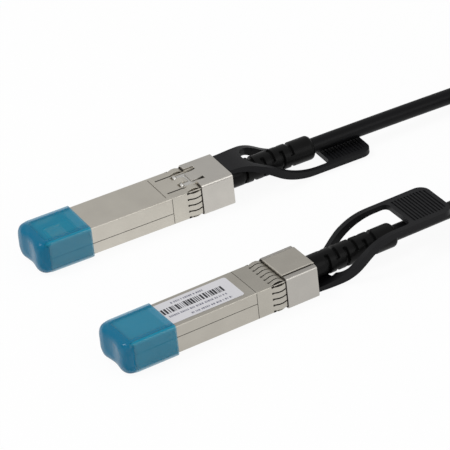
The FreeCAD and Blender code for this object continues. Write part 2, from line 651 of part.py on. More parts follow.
def strain_relief():
    """The moulded boot: a flange held by the shells, a slotted barrel and a plain end.

    The barrel has many narrow flats in place of a round skin, which keeps its slots light.
    """
    barrel = sided_bar((BARREL_X, BOOT_END), BOOT_R, BOOT_SIDES)
    rim = [e for e in barrel.Edges if all(v.X > BOOT_END - 1e-6 for v in e.Vertexes)]
    barrel = barrel.makeChamfer(BOOT_END_BEVEL, rim)
    neck = square_bar((BARREL_X - BOOT_NECK_L, BARREL_X), BOOT_NECK_HALF - BORE_CLEAR)
    flange = square_bar((BOOT_FLANGE_X, BOOT_FLANGE_X + BOOT_FLANGE_L), BOOT_FLANGE_HALF - BORE_CLEAR)
    boot = joined([barrel, neck, flange])
    tools = [rod((BOOT_FLANGE_X - CUT_SPARE, BOOT_END + CUT_SPARE), CABLE_R + BORE_CLEAR)]
    for index in range(BOOT_SLOTS):
        x = BOOT_SLOT_X + index * BOOT_SLOT_PITCH
        first = 0 if index % 2 == 0 else 90
        tools += [slot_sector(x, first), slot_sector(x, first + 180)]
    return cut_all(boot, tools)


def crimp_ring():
    """The ring on the cable's braid, pressed to six sides."""
    ring = sided_bar((CRIMP_X, CRIMP_X + CRIMP_L), CRIMP_CORNER_R, 6)
    return ring.cut(rod((CRIMP_X - CUT_SPARE, CRIMP_X + CRIMP_L + CUT_SPARE), CABLE_R + BORE_CLEAR / 2))


def cable_end():
    """The stretch of cable jacket inside the plug and its boot."""
    return rod((CRIMP_X, BOOT_END), CABLE_R)


def paddle_card():
    """The circuit card: a narrow bevelled nose that mates, and the wider part held by the shells."""
    z = (CARD_Z, CARD_Z + CARD_T)
    card = joined([mid_block((CARD_FRONT, CARD_STEP), CARD_NOSE_HALF_W, z),
                   mid_block((CARD_STEP, CARD_REAR), CARD_HALF_W, z)])
    nose = [e for e in card.Edges if all(v.X < CARD_FRONT + 1e-6 for v in e.Vertexes)
            and abs(e.Vertexes[0].Y - e.Vertexes[-1].Y) > 1]
    return card.makeChamfer(CARD_BEVEL, nose)


def card_contacts():
    """The plated contacts on both faces of the card's nose."""
    pads = []
    start = CARD_FRONT + CARD_BEVEL + 0.2
    for index in range(CONTACTS):
        y = (index - (CONTACTS - 1) / 2) * CONTACT_PITCH
        for z in (CARD_Z - CONTACT_T, CARD_Z + CARD_T):
            pads.append(block((start, start + CONTACT_L), (y - CONTACT_W / 2, y + CONTACT_W / 2),
                              (z, z + CONTACT_T)))
    return Part.makeCompound(pads)


def memory_chip():
    """The small chip that tells the host what cable this is, on its short legs."""
    length, width, height = CHIP_SIZE
    top = CARD_Z + CARD_T
    body = mid_block((CHIP_X, CHIP_X + length), width / 2, (top + 0.15, top + height))
    legs = []
    for index in range(4):
        x = CHIP_X + length * (index + 0.5) / 4
        legs.append(mid_block((x - 0.2, x + 0.2), width / 2 + 0.9, (top, top + 0.3)))
    return joined([body] + legs)


def pair_outline(x, z):
    """The flattened outline of one wrapped pair."""
    half = PAIR_T / 2
    flat = PAIR_W / 2 - half
    corners = [(flat, half), (PAIR_W / 2, half / 2), (PAIR_W / 2, -half / 2), (flat, -half)]
    corners += [(-y, up) for y, up in reversed(corners)]
    points = [FreeCAD.Vector(x, y, z + up) for y, up in corners]
    return Part.makePolygon(points + points[:1])


def wire_pairs():
    """The two wrapped pairs, one from each face of the card, to the stripped end of the cable."""
    pairs = []
    for side in (-1, 1):
        card_face = CARD_Z + (CARD_T if side > 0 else 0)
        start_z = card_face + side * (PAIR_T / 2 + 0.02)
        end_z = CABLE_Z + side * PAIR_MEET
        places = ((PAIR_START, start_z), (CARD_REAR + 0.3, start_z), (CRIMP_X, end_z))
        sections = [pair_outline(x, z) for x, z in places]
        first = Part.makeLoft(sections[:2], True, True)
        second = Part.makeLoft(sections[1:], True, True)
        pairs.append(joined([first, second]))
    return Part.makeCompound(pairs)


def label():
    """The thin label stuck on the cover shell."""
    sheet = mid_block(LABEL_X, LABEL_HALF_W, (HALF_H, HALF_H + LABEL_T))
    upright = [e for e in sheet.Edges if abs(e.Vertexes[0].Z - e.Vertexes[-1].Z) > LABEL_T / 2]
    return sheet.makeFillet(LABEL_R, upright)


def dust_cap():
    """The soft cap over the card end, rounded in front, with a slightly sunken front face."""
    outer = mid_block((CAP_FRONT, CAP_REAR), CAP_HALF_W, (-CAP_HALF_H, CAP_HALF_H))
    rounded = [e for e in outer.Edges if any(v.X < CAP_FRONT + 1e-6 for v in e.Vertexes)]
    outer = outer.makeFillet(CAP_R, rounded)
    inside = rounded_bar((CAP_FRONT + CAP_FRONT_T, CAP_REAR + CUT_SPARE), HALF_W + CAP_CLEAR,
                         (-HALF_H - CAP_CLEAR, HALF_H + CAP_CLEAR), EDGE_R + CAP_CLEAR)
    dish_r = (CAP_DISH_HALF_H ** 2 + CAP_DISH ** 2) / (2 * CAP_DISH)
    corner = FreeCAD.Vector(CAP_FRONT - dish_r + CAP_DISH, -CAP_DISH_HALF_W, 0)
    dish = Part.makeCylinder(dish_r, 2 * CAP_DISH_HALF_W, corner, FreeCAD.Vector(0, 1, 0))
    return cut_all(outer, [inside, dish])


def place_b(shape):
    """Plug B stands on its latch side."""
    placed = shape.copy()
    placed.translate(FreeCAD.Vector(0, 0, REST_B))
    return placed


def place_a(shape):
    """Plug A is turned over onto its label side and yawed a little."""
    placed = shape.copy()
    zero = FreeCAD.Vector(0, 0, 0)
    placed.rotate(zero, FreeCAD.Vector(1, 0, 0), 180)
    placed.rotate(zero, FreeCAD.Vector(0, 0, 1), PLUG_A_YAW)
    placed.translate(FreeCAD.Vector(PLUG_A_X, PLUG_A_Y, REST_A))
    return placed


def tube_along(points, name):
    """A cable run: straight stretches joined by tangent arcs as large as the stretches allow."""
    stretches = []
    here = points[0]
    length = 0.0
    for before, corner, after in zip(points, points[1:], points[2:]):
        back, forward = before - corner, after - corner
        turn = math.pi - back.getAngle(forward)
        reach = 0.45 * min(back.Length, forward.Length)
        radius = reach / math.tan(turn / 2)
        back.normalize()
        forward.normalize()
        start, end = corner + back * reach, corner + forward * reach
        inwards = back + forward
        inwards.normalize()
        centre = corner + inwards * (radius / math.cos(turn / 2))
        stretches.append(Part.makeCylinder(CABLE_R, (start - here).Length, here, back * -1))
        disc = Part.Face(Part.Wire(Part.makeCircle(CABLE_R, start, back * -1)))
        stretches.append(disc.revolve(centre, forward.cross(back), math.degrees(turn)))
        length += (start - here).Length + radius * turn
        here = end
        print(name, "bend radius", round(radius, 1), "mm")
    last = points[-1] - here
    stretches.append(Part.makeCylinder(CABLE_R, last.Length, here, last))
    length += last.Length
    tube = stretches[0].multiFuse(stretches[1:])
    print(name, "length", round(length, 2), "volume over section times length",
          round(tube.Volume / (math.pi * CABLE_R ** 2 * length), 5))
    return tube


def exit_point(place):
    """Where the cable leaves a boot."""
    return place(Part.Vertex(FreeCAD.Vector(BOOT_END, 0, CABLE_Z))).Point


def coil_sizes(exit_a, exit_b):
    """The coil's centre, and the radius of its outer turns, from where the two leads reach it."""
    yaw = math.radians(PLUG_A_YAW)
    end_a = exit_a + FreeCAD.Vector(LEAD_A_L * math.cos(yaw), LEAD_A_L * math.sin(yaw), 0)
    radius = (end_a.y - exit_b.y) / 2
    return FreeCAD.Vector(end_a.x, exit_b.y + radius, 0), radius + LEAD_SPREAD


def lead_a():
    """The cable from plug A's boot to the outer turn of the coil's lower layer."""
    exit_a, exit_b = exit_point(place_a), exit_point(place_b)
    centre, radius = coil_sizes(exit_a, exit_b)
    turn = FreeCAD.Rotation(FreeCAD.Vector(0, 0, 1), PLUG_A_YAW)
    points = [exit_a + turn.multVec(FreeCAD.Vector(*offset)) for offset in LEAD_A]
    points.append(centre + FreeCAD.Vector(0, radius, TIE_T + CABLE_R))
    return tube_along(points, "cable_lead_a")


def lead_b():
    """The cable from plug B's boot to the outer turn of the coil's upper layer."""
    exit_a, exit_b = exit_point(place_a), exit_point(place_b)
    centre, radius = coil_sizes(exit_a, exit_b)
    points = [exit_b + FreeCAD.Vector(*offset) for offset in LEAD_B]
    points.append(centre + FreeCAD.Vector(0, -radius, TIE_T + (COIL_LAYERS - 0.5) * CABLE_D))
    return tube_along(points, "cable_lead_b")


def coil_outline(margin):
    """The coil's section beside its axis, grown by a margin, and the coil's centre."""
    centre, radius = coil_sizes(exit_point(place_a), exit_point(place_b))
    outside = radius + CABLE_R
    x = (centre.x + outside - COIL_BAND - margin, centre.x + outside + margin)
    z = (TIE_T - margin, TIE_T + COIL_LAYERS * CABLE_D + margin)
    limits = ((x[0], z[0]), (x[1], z[0]), (x[1], z[1]), (x[0], z[1]))
    corners = [FreeCAD.Vector(px, centre.y, pz) for px, pz in limits]
    return centre, Part.Face(Part.makePolygon(corners + corners[:1]))


def cable_coil():
    """The outer shape of the wound length: two flat layers, as a ring with short flats."""
    centre, radius = coil_sizes(exit_point(place_a), exit_point(place_b))
    half_step = math.pi / COIL_SIDES
    outside = radius + CABLE_R
    inside = (outside - COIL_BAND) / math.cos(half_step)
    rings = []
    for ring_r in (outside, inside):
        corners = []
        for index in range(COIL_SIDES):
            turn = 2 * half_step * index
            corners.append(centre + FreeCAD.Vector(ring_r * math.cos(turn), ring_r * math.sin(turn), TIE_T))
        rings.append(Part.Face(Part.makePolygon(corners + corners[:1])))
    return rings[0].cut(rings[1]).extrude(FreeCAD.Vector(0, 0, COIL_LAYERS * CABLE_D))


def coil_tie():
    """The strap that holds the turns together, on the side away from the plugs."""
    centre, inner = coil_outline(0.001)
    band = coil_outline(TIE_T)[1].cut(inner)
    band.rotate(centre, FreeCAD.Vector(0, 0, 1), TIE_AT - TIE_ANGLE / 2)
    return band.revolve(centre, FreeCAD.Vector(0, 0, 1), TIE_ANGLE)


def plug_pieces(pad_top):
    """Every piece that both plugs have, in the plug's own frame."""
    slide = release_slide()
    return {
        "dust_cap": dust_cap(),
        "base_shell": base_shell(),
        "cover_shell": cover_shell(),
        "emi_collar": emi_collar(),
        "rear_sleeve": rear_sleeve(),
        "release_slide": slide,
        "return_spring": return_spring(),
        "pull_tab": pull_tab(pad_top, slide),
        "strain_relief": strain_relief(),
        "crimp_ring": crimp_ring(),
        "cable_end": cable_end(),
        "paddle_card": paddle_card(),
        "card_contacts": card_contacts(),
        "memory_chip": memory_chip(),
        "wire_pairs": wire_pairs(),
    }


def assembly():
    """Every node in the row frame, whose origin is the bottom centre of the two plugs."""
    nodes = {}
    for name, shape in plug_pieces(PAD_TOP_A).items():
        nodes[name + "_a"] = place_a(shape)
    for name, shape in plug_pieces(PAD_TOP_B).items():
        nodes[name + "_b"] = place_b(shape)
    nodes["label_b"] = place_b(label())
    plugs = Part.makeCompound(list(nodes.values())).BoundBox
    nodes["cable_lead_a"] = lead_a()
    nodes["cable_lead_b"] = lead_b()
    nodes["cable_coil"] = cable_coil()
    nodes["coil_tie"] = coil_tie()
    shift = FreeCAD.Vector(-plugs.Center.x, -plugs.Center.y, 0)
    print("origin of plug B", round(shift.x, 3), round(shift.y, 3), "plugs from", round(plugs.ZMin, 3))
    for shape in nodes.values():
        shape.translate(shift)
    return nodes


os.makedirs("parts", exist_ok=True)
for node_name, node_shape in assembly().items():
    node_shape.exportStep(os.path.join("parts", node_name + ".step"))
    box = node_shape.BoundBox
    print(node_name, "solids", len(node_shape.Solids), "valid", node_shape.isValid(),
          "volume", round(node_shape.Volume, 2),
          "x", round(box.XMin, 2), round(box.XMax, 2), "y", round(box.YMin, 2), round(box.YMax, 2),
          "z", round(box.ZMin, 2), round(box.ZMax, 2))
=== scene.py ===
"""Looks of a direct attach copper cable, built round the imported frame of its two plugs.

Each plug is dressed in its own frame, in millimetres: X runs from the card end to the cable, Y runs
across and Z points to the label side. A PlugPlace carries such points into the part's frame, in metres.
"""

from __future__ import annotations

import logging
import math
from collections.abc import Callable
from dataclasses import dataclass, replace
from enum import Enum
from functools import partial

import bmesh
import bpy
import numpy as np
from mathutils import Matrix, Vector

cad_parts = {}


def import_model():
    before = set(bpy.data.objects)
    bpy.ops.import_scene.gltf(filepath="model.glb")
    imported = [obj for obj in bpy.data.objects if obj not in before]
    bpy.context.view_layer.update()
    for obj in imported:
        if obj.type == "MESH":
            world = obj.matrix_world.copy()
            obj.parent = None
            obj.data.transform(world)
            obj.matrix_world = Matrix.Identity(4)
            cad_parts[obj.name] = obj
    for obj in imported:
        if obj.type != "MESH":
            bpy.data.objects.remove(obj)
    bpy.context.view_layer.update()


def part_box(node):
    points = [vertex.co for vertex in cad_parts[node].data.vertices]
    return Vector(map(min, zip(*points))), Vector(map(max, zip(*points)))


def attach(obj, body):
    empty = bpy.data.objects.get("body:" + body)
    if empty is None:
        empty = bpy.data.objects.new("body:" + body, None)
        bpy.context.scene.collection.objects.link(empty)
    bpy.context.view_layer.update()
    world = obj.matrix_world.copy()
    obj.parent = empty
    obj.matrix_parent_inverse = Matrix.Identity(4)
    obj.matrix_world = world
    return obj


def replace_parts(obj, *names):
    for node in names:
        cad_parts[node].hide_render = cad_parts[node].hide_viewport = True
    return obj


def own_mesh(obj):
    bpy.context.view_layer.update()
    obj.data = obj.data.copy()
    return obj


MM = 0.001
ROOT = "cable_and_plugs"

Span = tuple[float, float]
Triple = tuple[float, float, float]
Block = tuple[float, float, float, float, float, float]

log = logging.getLogger("direct_attach_cable")


class Side(Enum):
    """Which side of a plug faces up."""

    LATCH_UP = "latch"
    LABEL_UP = "label"


def fade(value: np.ndarray, start: float, end: float) -> np.ndarray:
    """A smooth step from 0 at one value to 1 at another.

    Between the two it is three times the square less twice the cube of the share of the way.

    Args:
        value: where the step is wanted.
        start: the value up to which it is 0.
        end: the value from which it is 1. It may be below start.

    Returns:
        The step, from 0 to 1.
    """
    share = np.clip((value - start) / (end - start), 0, 1)
    return share * share * (3 - 2 * share)


def node_middle(node: str) -> np.ndarray:
    """The middle of a CAD node's box, in the part's frame in millimetres."""
    low, high = (np.array(corner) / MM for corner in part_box(node))
    return (low + high) / 2


@dataclass(frozen=True)
class PlugPlace:
    """Where one plug lies.

    Args:
        letter: the ending of the plug's node names.
        side: the side that faces up.
        yaw: its turn about the vertical, in degrees.
        cable_mid: the X of the middle of the cable's stretch inside the plug, in millimetres.
        cable_z: the Z of the cable's axis, in millimetres.
        boot_end: the X at which the cable leaves the boot, in millimetres.
    """

    letter: str
    side: Side
    yaw: float
    cable_mid: float = 65.05
    cable_z: float = 0.1
    boot_end: float = 85.5

    def turn(self) -> np.ndarray:
        """The rotation from the plug's frame to the part's: over for the latch side, then the yaw.

        Returns:
            A matrix of three rows and columns.
        """
        angle = math.radians(self.yaw)
        cosine = math.cos(angle)
        sine = math.sin(angle)
        yaw = np.array([[cosine, -sine, 0.0], [sine, cosine, 0.0], [0.0, 0.0, 1.0]])
        flip = np.diag([1.0, -1.0, -1.0]) if self.side is Side.LATCH_UP else np.eye(3)
        return yaw @ flip

    def origin(self) -> np.ndarray:
        """The plug's origin in the part's frame in millimetres, from the stretch of cable inside it."""
        inside = np.array([self.cable_mid, 0.0, self.cable_z])
        return node_middle(f"cable_end_{self.letter}") - self.turn() @ inside

    def to_part(self, points: np.ndarray) -> np.ndarray:
        """Points of the plug's frame carried to the part's frame.

        Args:
            points: an array whose last axis holds X, Y and Z in millimetres.

        Returns:
            The same array in the part's frame, in metres.
        """
        return (points @ self.turn().T + self.origin()) * MM

    def exit_point(self) -> np.ndarray:
        """Where the cable leaves the boot, in the part's frame in millimetres."""
        return self.to_part(np.array([self.boot_end, 0.0, self.cable_z])) / MM


PLUG_A = PlugPlace("a", Side.LATCH_UP, -2.8)
PLUG_B = PlugPlace("b", Side.LABEL_UP, 0.0)


class ShaderGraph:
    """Adds and links the nodes of one material or one node group."""

    def __init__(self, tree: bpy.types.NodeTree) -> None:
        """Keeps the tree that the nodes go into."""
        self.tree = tree

    @classmethod
    def of_material(cls, material: bpy.types.Material) -> ShaderGraph:
        """The graph of a new material, emptied first.

        Args:
            material: the material.

        Returns:
            Its graph.
        """
        material.use_nodes = True
        material.node_tree.nodes.clear()
        return cls(material.node_tree)

    def add(
        self, kind: str, inputs: dict[str | int, object] | None = None, **options: object
    ) -> bpy.types.Node:
        """Adds a node, sets its own options and then its inputs.

        Args:
            kind: the node's type.
            inputs: values of its inputs, by name or number.
            options: values of its own options, by name.

        Returns:
            The node.
        """
        node = self.tree.nodes.new(kind)
        for key, value in options.items():
            setattr(node, key, value)
        for key, value in (inputs or {}).items():
            node.inputs[key].default_value = value
        return node

    def link(self, source: bpy.types.NodeSocket, target: bpy.types.NodeSocket) -> None:
        """Joins an output to an input."""
        self.tree.links.new(source, target)

    def surface(self, shader: bpy.types.NodeSocket) -> None:
        """Adds the material's output and gives it the shader."""
        self.link(shader, self.add("ShaderNodeOutputMaterial").inputs["Surface"])


@dataclass(frozen=True)
class SurfaceGrain:
    """The grain that the finishes share: coarse clouds and fine grain, both noise on Object coordinates.

    Args:
        name: the node group's name.
        cloud_share: the clouds' frequency as a share of the grain's.
        cloud_detail: how many octaves the clouds have.
        grain_detail: how many octaves the grain has.
        cloud_height: how high the clouds stand beside the grain.
    """

    name: str = "surface_grain"
    cloud_share: float = 0.06
    cloud_detail: float = 3.0
    grain_detail: float = 2.0
    cloud_height: float = 0.35

    def empty(self) -> bpy.types.NodeTree:
        """The group with its inputs and outputs and no nodes yet.

        Returns:
            The new group.
        """
        tree = bpy.data.node_groups.new(self.name, "ShaderNodeTree")
        tree.interface.new_socket("Scale", in_out="INPUT", socket_type="NodeSocketFloat")
        tree.interface.new_socket("Stretch", in_out="INPUT", socket_type="NodeSocketVector")
        for label in ("Cloud", "Grain", "Height"):
            tree.interface.new_socket(label, in_out="OUTPUT", socket_type="NodeSocketFloat")
        return tree

    def build(self) -> bpy.types.NodeTree:
        """Makes the group, once.

        The coordinates are multiplied by Stretch. The height is the grain plus a share of the clouds.

        Returns:
            A group with Scale and Stretch in, and Cloud, Grain and Height out.
        """
        existing = bpy.data.node_groups.get(self.name)
        if existing:
            return existing
        graph = ShaderGraph(self.empty())
        entry = graph.add("NodeGroupInput")
        leave = graph.add("NodeGroupOutput")
        place = graph.add("ShaderNodeTexCoord")
        stretched = graph.add("ShaderNodeVectorMath", operation="MULTIPLY")
        cloud_scale = graph.add("ShaderNodeMath", {1: self.cloud_share}, operation="MULTIPLY")
        cloud = graph.add("ShaderNodeTexNoise", {"Detail": self.cloud_detail})
        grain = graph.add("ShaderNodeTexNoise", {"Detail": self.grain_detail})
        height = graph.add("ShaderNodeMath", {1: self.cloud_height}, operation="MULTIPLY_ADD")
        graph.link(place.outputs["Object"], stretched.inputs[0])
        graph.link(entry.outputs["Stretch"], stretched.inputs[1])
        graph.link(entry.outputs["Scale"], cloud_scale.inputs[0])
        graph.link(cloud_scale.outputs[0], cloud.inputs["Scale"])
        graph.link(entry.outputs["Scale"], grain.inputs["Scale"])
        for noise in (cloud, grain):
            graph.link(stretched.outputs[0], noise.inputs["Vector"])
        graph.link(cloud.outputs["Fac"], height.inputs[0])
        graph.link(grain.outputs["Fac"], height.inputs[2])
        graph.link(cloud.outputs["Fac"], leave.inputs["Cloud"])
        graph.link(grain.outputs["Fac"], leave.inputs["Grain"])
        graph.link(height.outputs[0], leave.inputs["Height"])
        return graph.tree


@dataclass(frozen=True)
class Finish:
    """One finish, with fine grain that varies its colour, its roughness and its surface.

    Args:
        name: the material's name.
        slot: the record's material slot. Not used.
        light: the colour where the clouds are high.
        dark: the colour where the clouds are low.
        metallic: 1 on bare metal.
        roughness: the middle roughness.
        roughness_spread: how far the grain moves it either way.
        grain_scale: the grain's frequency for each metre.
        stretch: the share of that frequency along each axis, below 1 where the grain runs long.
        bump: the bump's height in metres.
        specular: the strength of the plain shine, 0.5 on most materials.
        coat: the weight of a clear coat.
        coat_roughness: the coat's roughness.
        alpha: below 1 where what is under the surface shows.
        rim_alpha: the same, where the surface turns away.
        rim_blend: how soon the surface counts as turning away.
        deep: the colour where the mesh's depth attribute is 1, as behind more of the same material.
    """

    name: str
    slot: str
    light: Triple
    dark: Triple
    metallic: float = 0.0
    roughness: float = 0.45
    roughness_spread: float = 0.08
    grain_scale: float = 2500.0
    stretch: Triple = (1.0, 1.0, 1.0)
    bump: float = 0.00001
    specular: float = 0.5
    coat: float = 0.0
    coat_roughness: float = 0.3
    alpha: float = 1.0
    rim_alpha: float = 1.0
    rim_blend: float = 0.13
    deep: Triple | None = None

    def painted_light_copy(self, ending: str, share: float) -> Finish:
        """The same finish on another piece, painted lighter or darker as painted light or shade.

        Args:
            ending: what is added to the material's name.
            share: what both colours are multiplied by, the painted light or shade.

        Returns:
            The other finish.
        """
        light = tuple(share * part for part in self.light)
        dark = tuple(share * part for part in self.dark)
        return replace(self, name=f"{self.name}_{ending}", light=light, dark=dark)

    def build(self) -> bpy.types.Material:
        """Makes the material, once for each name.

        The clouds mix the two colours, the grain moves the roughness, and both together raise the surface.

        Returns:
            The material.
        """
        existing = bpy.data.materials.get(self.name)
        if existing:
            return existing
        material = bpy.data.materials.new(self.name)
        graph = ShaderGraph.of_material(material)
        uniform = {
            "Metallic": self.metallic,
            "Specular IOR Level": self.specular,
            "Alpha": self.alpha,
            "Coat Weight": self.coat,
            "Coat Roughness": self.coat_roughness,
        }
        shader = graph.add("ShaderNodeBsdfPrincipled", uniform)
        pattern = {"Scale": self.grain_scale, "Stretch": self.stretch}
        grain = graph.add("ShaderNodeGroup", pattern, node_tree=SurfaceGrain().build())
        colours = {"A": (*self.dark, 1.0), "B": (*self.light, 1.0)}
        colour = graph.add("ShaderNodeMix", colours, data_type="RGBA")
        graph.link(grain.outputs["Cloud"], colour.inputs["Factor"])
        graph.link(colour.outputs["Result"], shader.inputs["Base Color"])
        low = self.roughness - self.roughness_spread
        high = self.roughness + self.roughness_spread
        rough = graph.add("ShaderNodeMapRange", {"To Min": low, "To Max": high})
        graph.link(grain.outputs["Grain"], rough.inputs["Value"])
        graph.link(rough.outputs["Result"], shader.inputs["Roughness"])
        bump = graph.add("ShaderNodeBump", {"Distance": self.bump})
        graph.link(grain.outputs["Height"], bump.inputs["Height"])
        graph.link(bump.outputs["Normal"], shader.inputs["Normal"])
        if self.alpha < 1.0:
            self.see_through(graph, shader, colour.outputs["Result"])
        graph.surface(shader.outputs["BSDF"])
        return material

    def see_through(self, graph: ShaderGraph, shader: bpy.types.Node, colour: bpy.types.NodeSocket) -> None:
        """Lets what is under the surface show, less where it turns away and where the depth is high.

        Alpha runs from alpha to rim_alpha as the surface turns away, and is at least rim_alpha times the
        depth. The depth also mixes the colour towards the deep one, and below 0 away from it, which paints a
        highlight.

        Args:
            graph: the material's graph.
            shader: its Principled shader.
            colour: the colour before the depth changes it.
        """
        turned = graph.add("ShaderNodeLayerWeight", {"Blend": self.rim_blend})
        clear = graph.add("ShaderNodeMapRange", {"To Min": self.alpha, "To Max": self.rim_alpha})
        opaque = graph.add("ShaderNodeMath", operation="MAXIMUM")
        graph.link(turned.outputs["Facing"], clear.inputs["Value"])
        graph.link(clear.outputs["Result"], opaque.inputs[0])
        graph.link(opaque.outputs[0], shader.inputs["Alpha"])
        if self.deep is None:
            return
        depth = graph.add("ShaderNodeAttribute", attribute_name="depth")
        share = graph.add("ShaderNodeMath", {1: self.rim_alpha}, operation="MULTIPLY", use_clamp=True)
        graph.link(depth.outputs["Fac"], share.inputs[0])
        graph.link(share.outputs[0], opaque.inputs[1])
        deeper = graph.add("ShaderNodeMix", {"B": (*self.deep, 1.0)}, data_type="RGBA", clamp_factor=False)
        graph.link(depth.outputs["Fac"], deeper.inputs["Factor"])
        graph.link(colour, deeper.inputs["A"])
        graph.link(deeper.outputs["Result"], shader.inputs["Base Color"])


CAST_NICKEL = Finish(
    "cast_nickel", "cast_shell", (0.62, 0.59, 0.525), (0.52, 0.49, 0.435), metallic=1.0, roughness=0.42
)
SPRING_NICKEL = Finish(
    "spring_nickel", "spring_sheet", (0.60, 0.57, 0.505), (0.50, 0.475, 0.42), metallic=1.0, roughness=0.38
)
SLEEVE_NICKEL = Finish(
    "sleeve_nickel", "sleeve_sheet", (0.59, 0.565, 0.52), (0.50, 0.48, 0.445), metallic=1.0, roughness=0.36
)
SLIDE_STEEL = Finish(
    "slide_steel", "slide_steel", (0.52, 0.50, 0.46), (0.42, 0.405, 0.37),
    metallic=1.0, roughness=0.33, stretch=(0.1, 1.0, 1.0),
)
# Painted shade: the near black of the blocks that stand for the shade in the plug's narrow gaps.
GAP_SHADE = Finish(
    "gap_shade", "cast_shell", (0.045, 0.040, 0.034), (0.030, 0.027, 0.023),
    roughness=0.8, specular=0.1, bump=0.0,
)
CAP_SILICONE = Finish(
    "cap_silicone", "cap_rubber", (0.014, 0.285, 0.45), (0.008, 0.25, 0.40), deep=(0.0, 0.14, 0.265),
    roughness=0.22, roughness_spread=0.03, bump=0.000004, alpha=0.42, rim_alpha=0.92,
    specular=0.06, coat=0.3, coat_roughness=0.07,
)
TAB_RUBBER = Finish(
    "moulded_tab", "tab_rubber", (0.008, 0.008, 0.009), (0.005, 0.005, 0.006), roughness=0.44, specular=0.14
)
BOOT_RUBBER = Finish(
    "moulded_boot", "boot_rubber", (0.006, 0.006, 0.006), (0.003, 0.003, 0.003), roughness=0.38, specular=0.1
)
JACKET = Finish(
    "jacket_vinyl", "cable_jacket", (0.006, 0.006, 0.007), (0.003, 0.003, 0.003),
    roughness=0.40, grain_scale=1800.0, specular=0.12,
)
CRIMP_BRASS = Finish(
    "crimp_brass", "crimp_metal", (0.72, 0.60, 0.36), (0.62, 0.51, 0.30), metallic=1.0, roughness=0.3
)
BOARD = Finish(
    "board_mask", "circuit_board", (0.03, 0.20, 0.09), (0.02, 0.15, 0.07), roughness=0.35, coat=0.4
)
CONTACT_GOLD = Finish(
    "contact_gold", "contact_plating", (0.86, 0.64, 0.25), (0.78, 0.56, 0.20), metallic=1.0, roughness=0.22
)
CHIP_RESIN = Finish("chip_resin", "chip_resin", (0.035, 0.035, 0.035), (0.022, 0.022, 0.022), roughness=0.6)
PAIR_FOIL = Finish(
    "pair_foil", "pair_wrap", (0.76, 0.76, 0.78), (0.66, 0.66, 0.68),
    metallic=1.0, roughness=0.3, bump=0.00004,
)
LABEL_FILM = Finish(
    "label_film", "label_sheet", (0.60, 0.595, 0.62), (0.56, 0.555, 0.58), roughness=0.5, bump=0.000003
)
LABEL_INK = Finish(
    "label_ink", "label_sheet", (0.040, 0.040, 0.045), (0.026, 0.026, 0.030),
    roughness=0.6, specular=0.2, bump=0.0,
)
LABEL_TINT = Finish(
    "label_tint", "label_sheet", (0.20, 0.20, 0.24), (0.15, 0.15, 0.19),
    roughness=0.6, specular=0.2, bump=0.0,
)
TIE_WEAVE = Finish(
    "tie_weave", "tie_strap", (0.03, 0.03, 0.03), (0.012, 0.012, 0.012), roughness=0.8, bump=0.0001
)


def mesh_piece(
    name: str, points: np.ndarray, faces: list[list[int]], smooth_angle: float = 40.0
) -> bpy.types.Object:
    """A new object from vertices and faces that already stand in the part's frame.

    Args:
        name: the piece's name.
        points: the vertices, in metres.
        faces: the faces' vertex numbers.
        smooth_angle: edges that turn by more than this many degrees stay sharp.

    Returns:
        The linked object.
    """
    mesh = bpy.data.meshes.new(name)
    mesh.from_pydata(points.reshape(-1, 3).tolist(), [], faces)
    mesh.validate()
    mesh.polygons.foreach_set("use_smooth", np.ones(len(mesh.polygons), dtype=bool))
    mesh.set_sharp_from_angle(angle=math.radians(smooth_angle))
    piece = bpy.data.objects.new(name, mesh)
    bpy.context.scene.collection.objects.link(piece)
    return piece


def grid_faces(rows: int, columns: int, close_rows: bool) -> list[list[int]]:
    """Quads between closed rows of points: each joins a point to its neighbours one row and one column on.

    Args:
        rows: how many rows of points there are.
        columns: how many points each row has.
        close_rows: whether the last row joins the first.

    Returns:
        Four vertex numbers for each quad.
    """
    row = np.arange(rows if close_rows else rows - 1)[:, None]
    column = np.arange(columns)[None, :]
    next_row = (row + 1) % rows
    next_column = (column + 1) % columns
    here = row * columns
    there = next_row * columns
    corners = [here + column, there + column, there + next_column, here + next_column]
    return np.stack(corners, axis=-1).reshape(-1, 4).tolist()


def capped_faces(rows: int, columns: int) -> list[list[int]]:
    """Faces of a tube of closed rows, with one face over each of its ends.

    Args:
        rows: how many rows of points there are.
        columns: how many points each row has.

    Returns:
        The vertex numbers of each face.
    """
    last = (rows - 1) * columns
    ends = [list(range(columns)), list(range(last + columns - 1, last - 1, -1))]
    return grid_faces(rows, columns, False) + ends


def outward(piece: bpy.types.Object) -> bpy.types.Object:
    """Turns a closed piece's faces outwards.

    Args:
        piece: the piece.

    Returns:
        The same piece.
    """
    mesh = bmesh.new()
    mesh.from_mesh(piece.data)
    bmesh.ops.recalc_face_normals(mesh, faces=mesh.faces)
    mesh.to_mesh(piece.data)
    mesh.free()
    return piece


def slabs(name: str, place: PlugPlace, blocks: list[Block]) -> bpy.types.Object:
    """Thin blocks that stand square in a plug's frame.

    Args:
        name: the piece's name.
        place: the plug's place.
        blocks: for each block its low X, high X, low Y, high Y, low Z and high Z in millimetres.

    Returns:
        One object that holds them all.
    """
    spans = np.array(blocks)
    low_corners = spans[:, [[0, 2, 4], [1, 2, 4], [1, 3, 4], [0, 3, 4]]]
    high_corners = spans[:, [[0, 2, 5], [1, 2, 5], [1, 3, 5], [0, 3, 5]]]
    points = np.concatenate([low_corners, high_corners], axis=1)
    sides = np.array([[3, 2, 1, 0], [4, 5, 6, 7], [0, 1, 5, 4], [1, 2, 6, 5], [2, 3, 7, 6], [3, 0, 4, 7]])
    faces = sides + 8 * np.arange(len(spans))[:, None, None]
    return mesh_piece(name, place.to_part(points), faces.reshape(-1, 4).tolist())


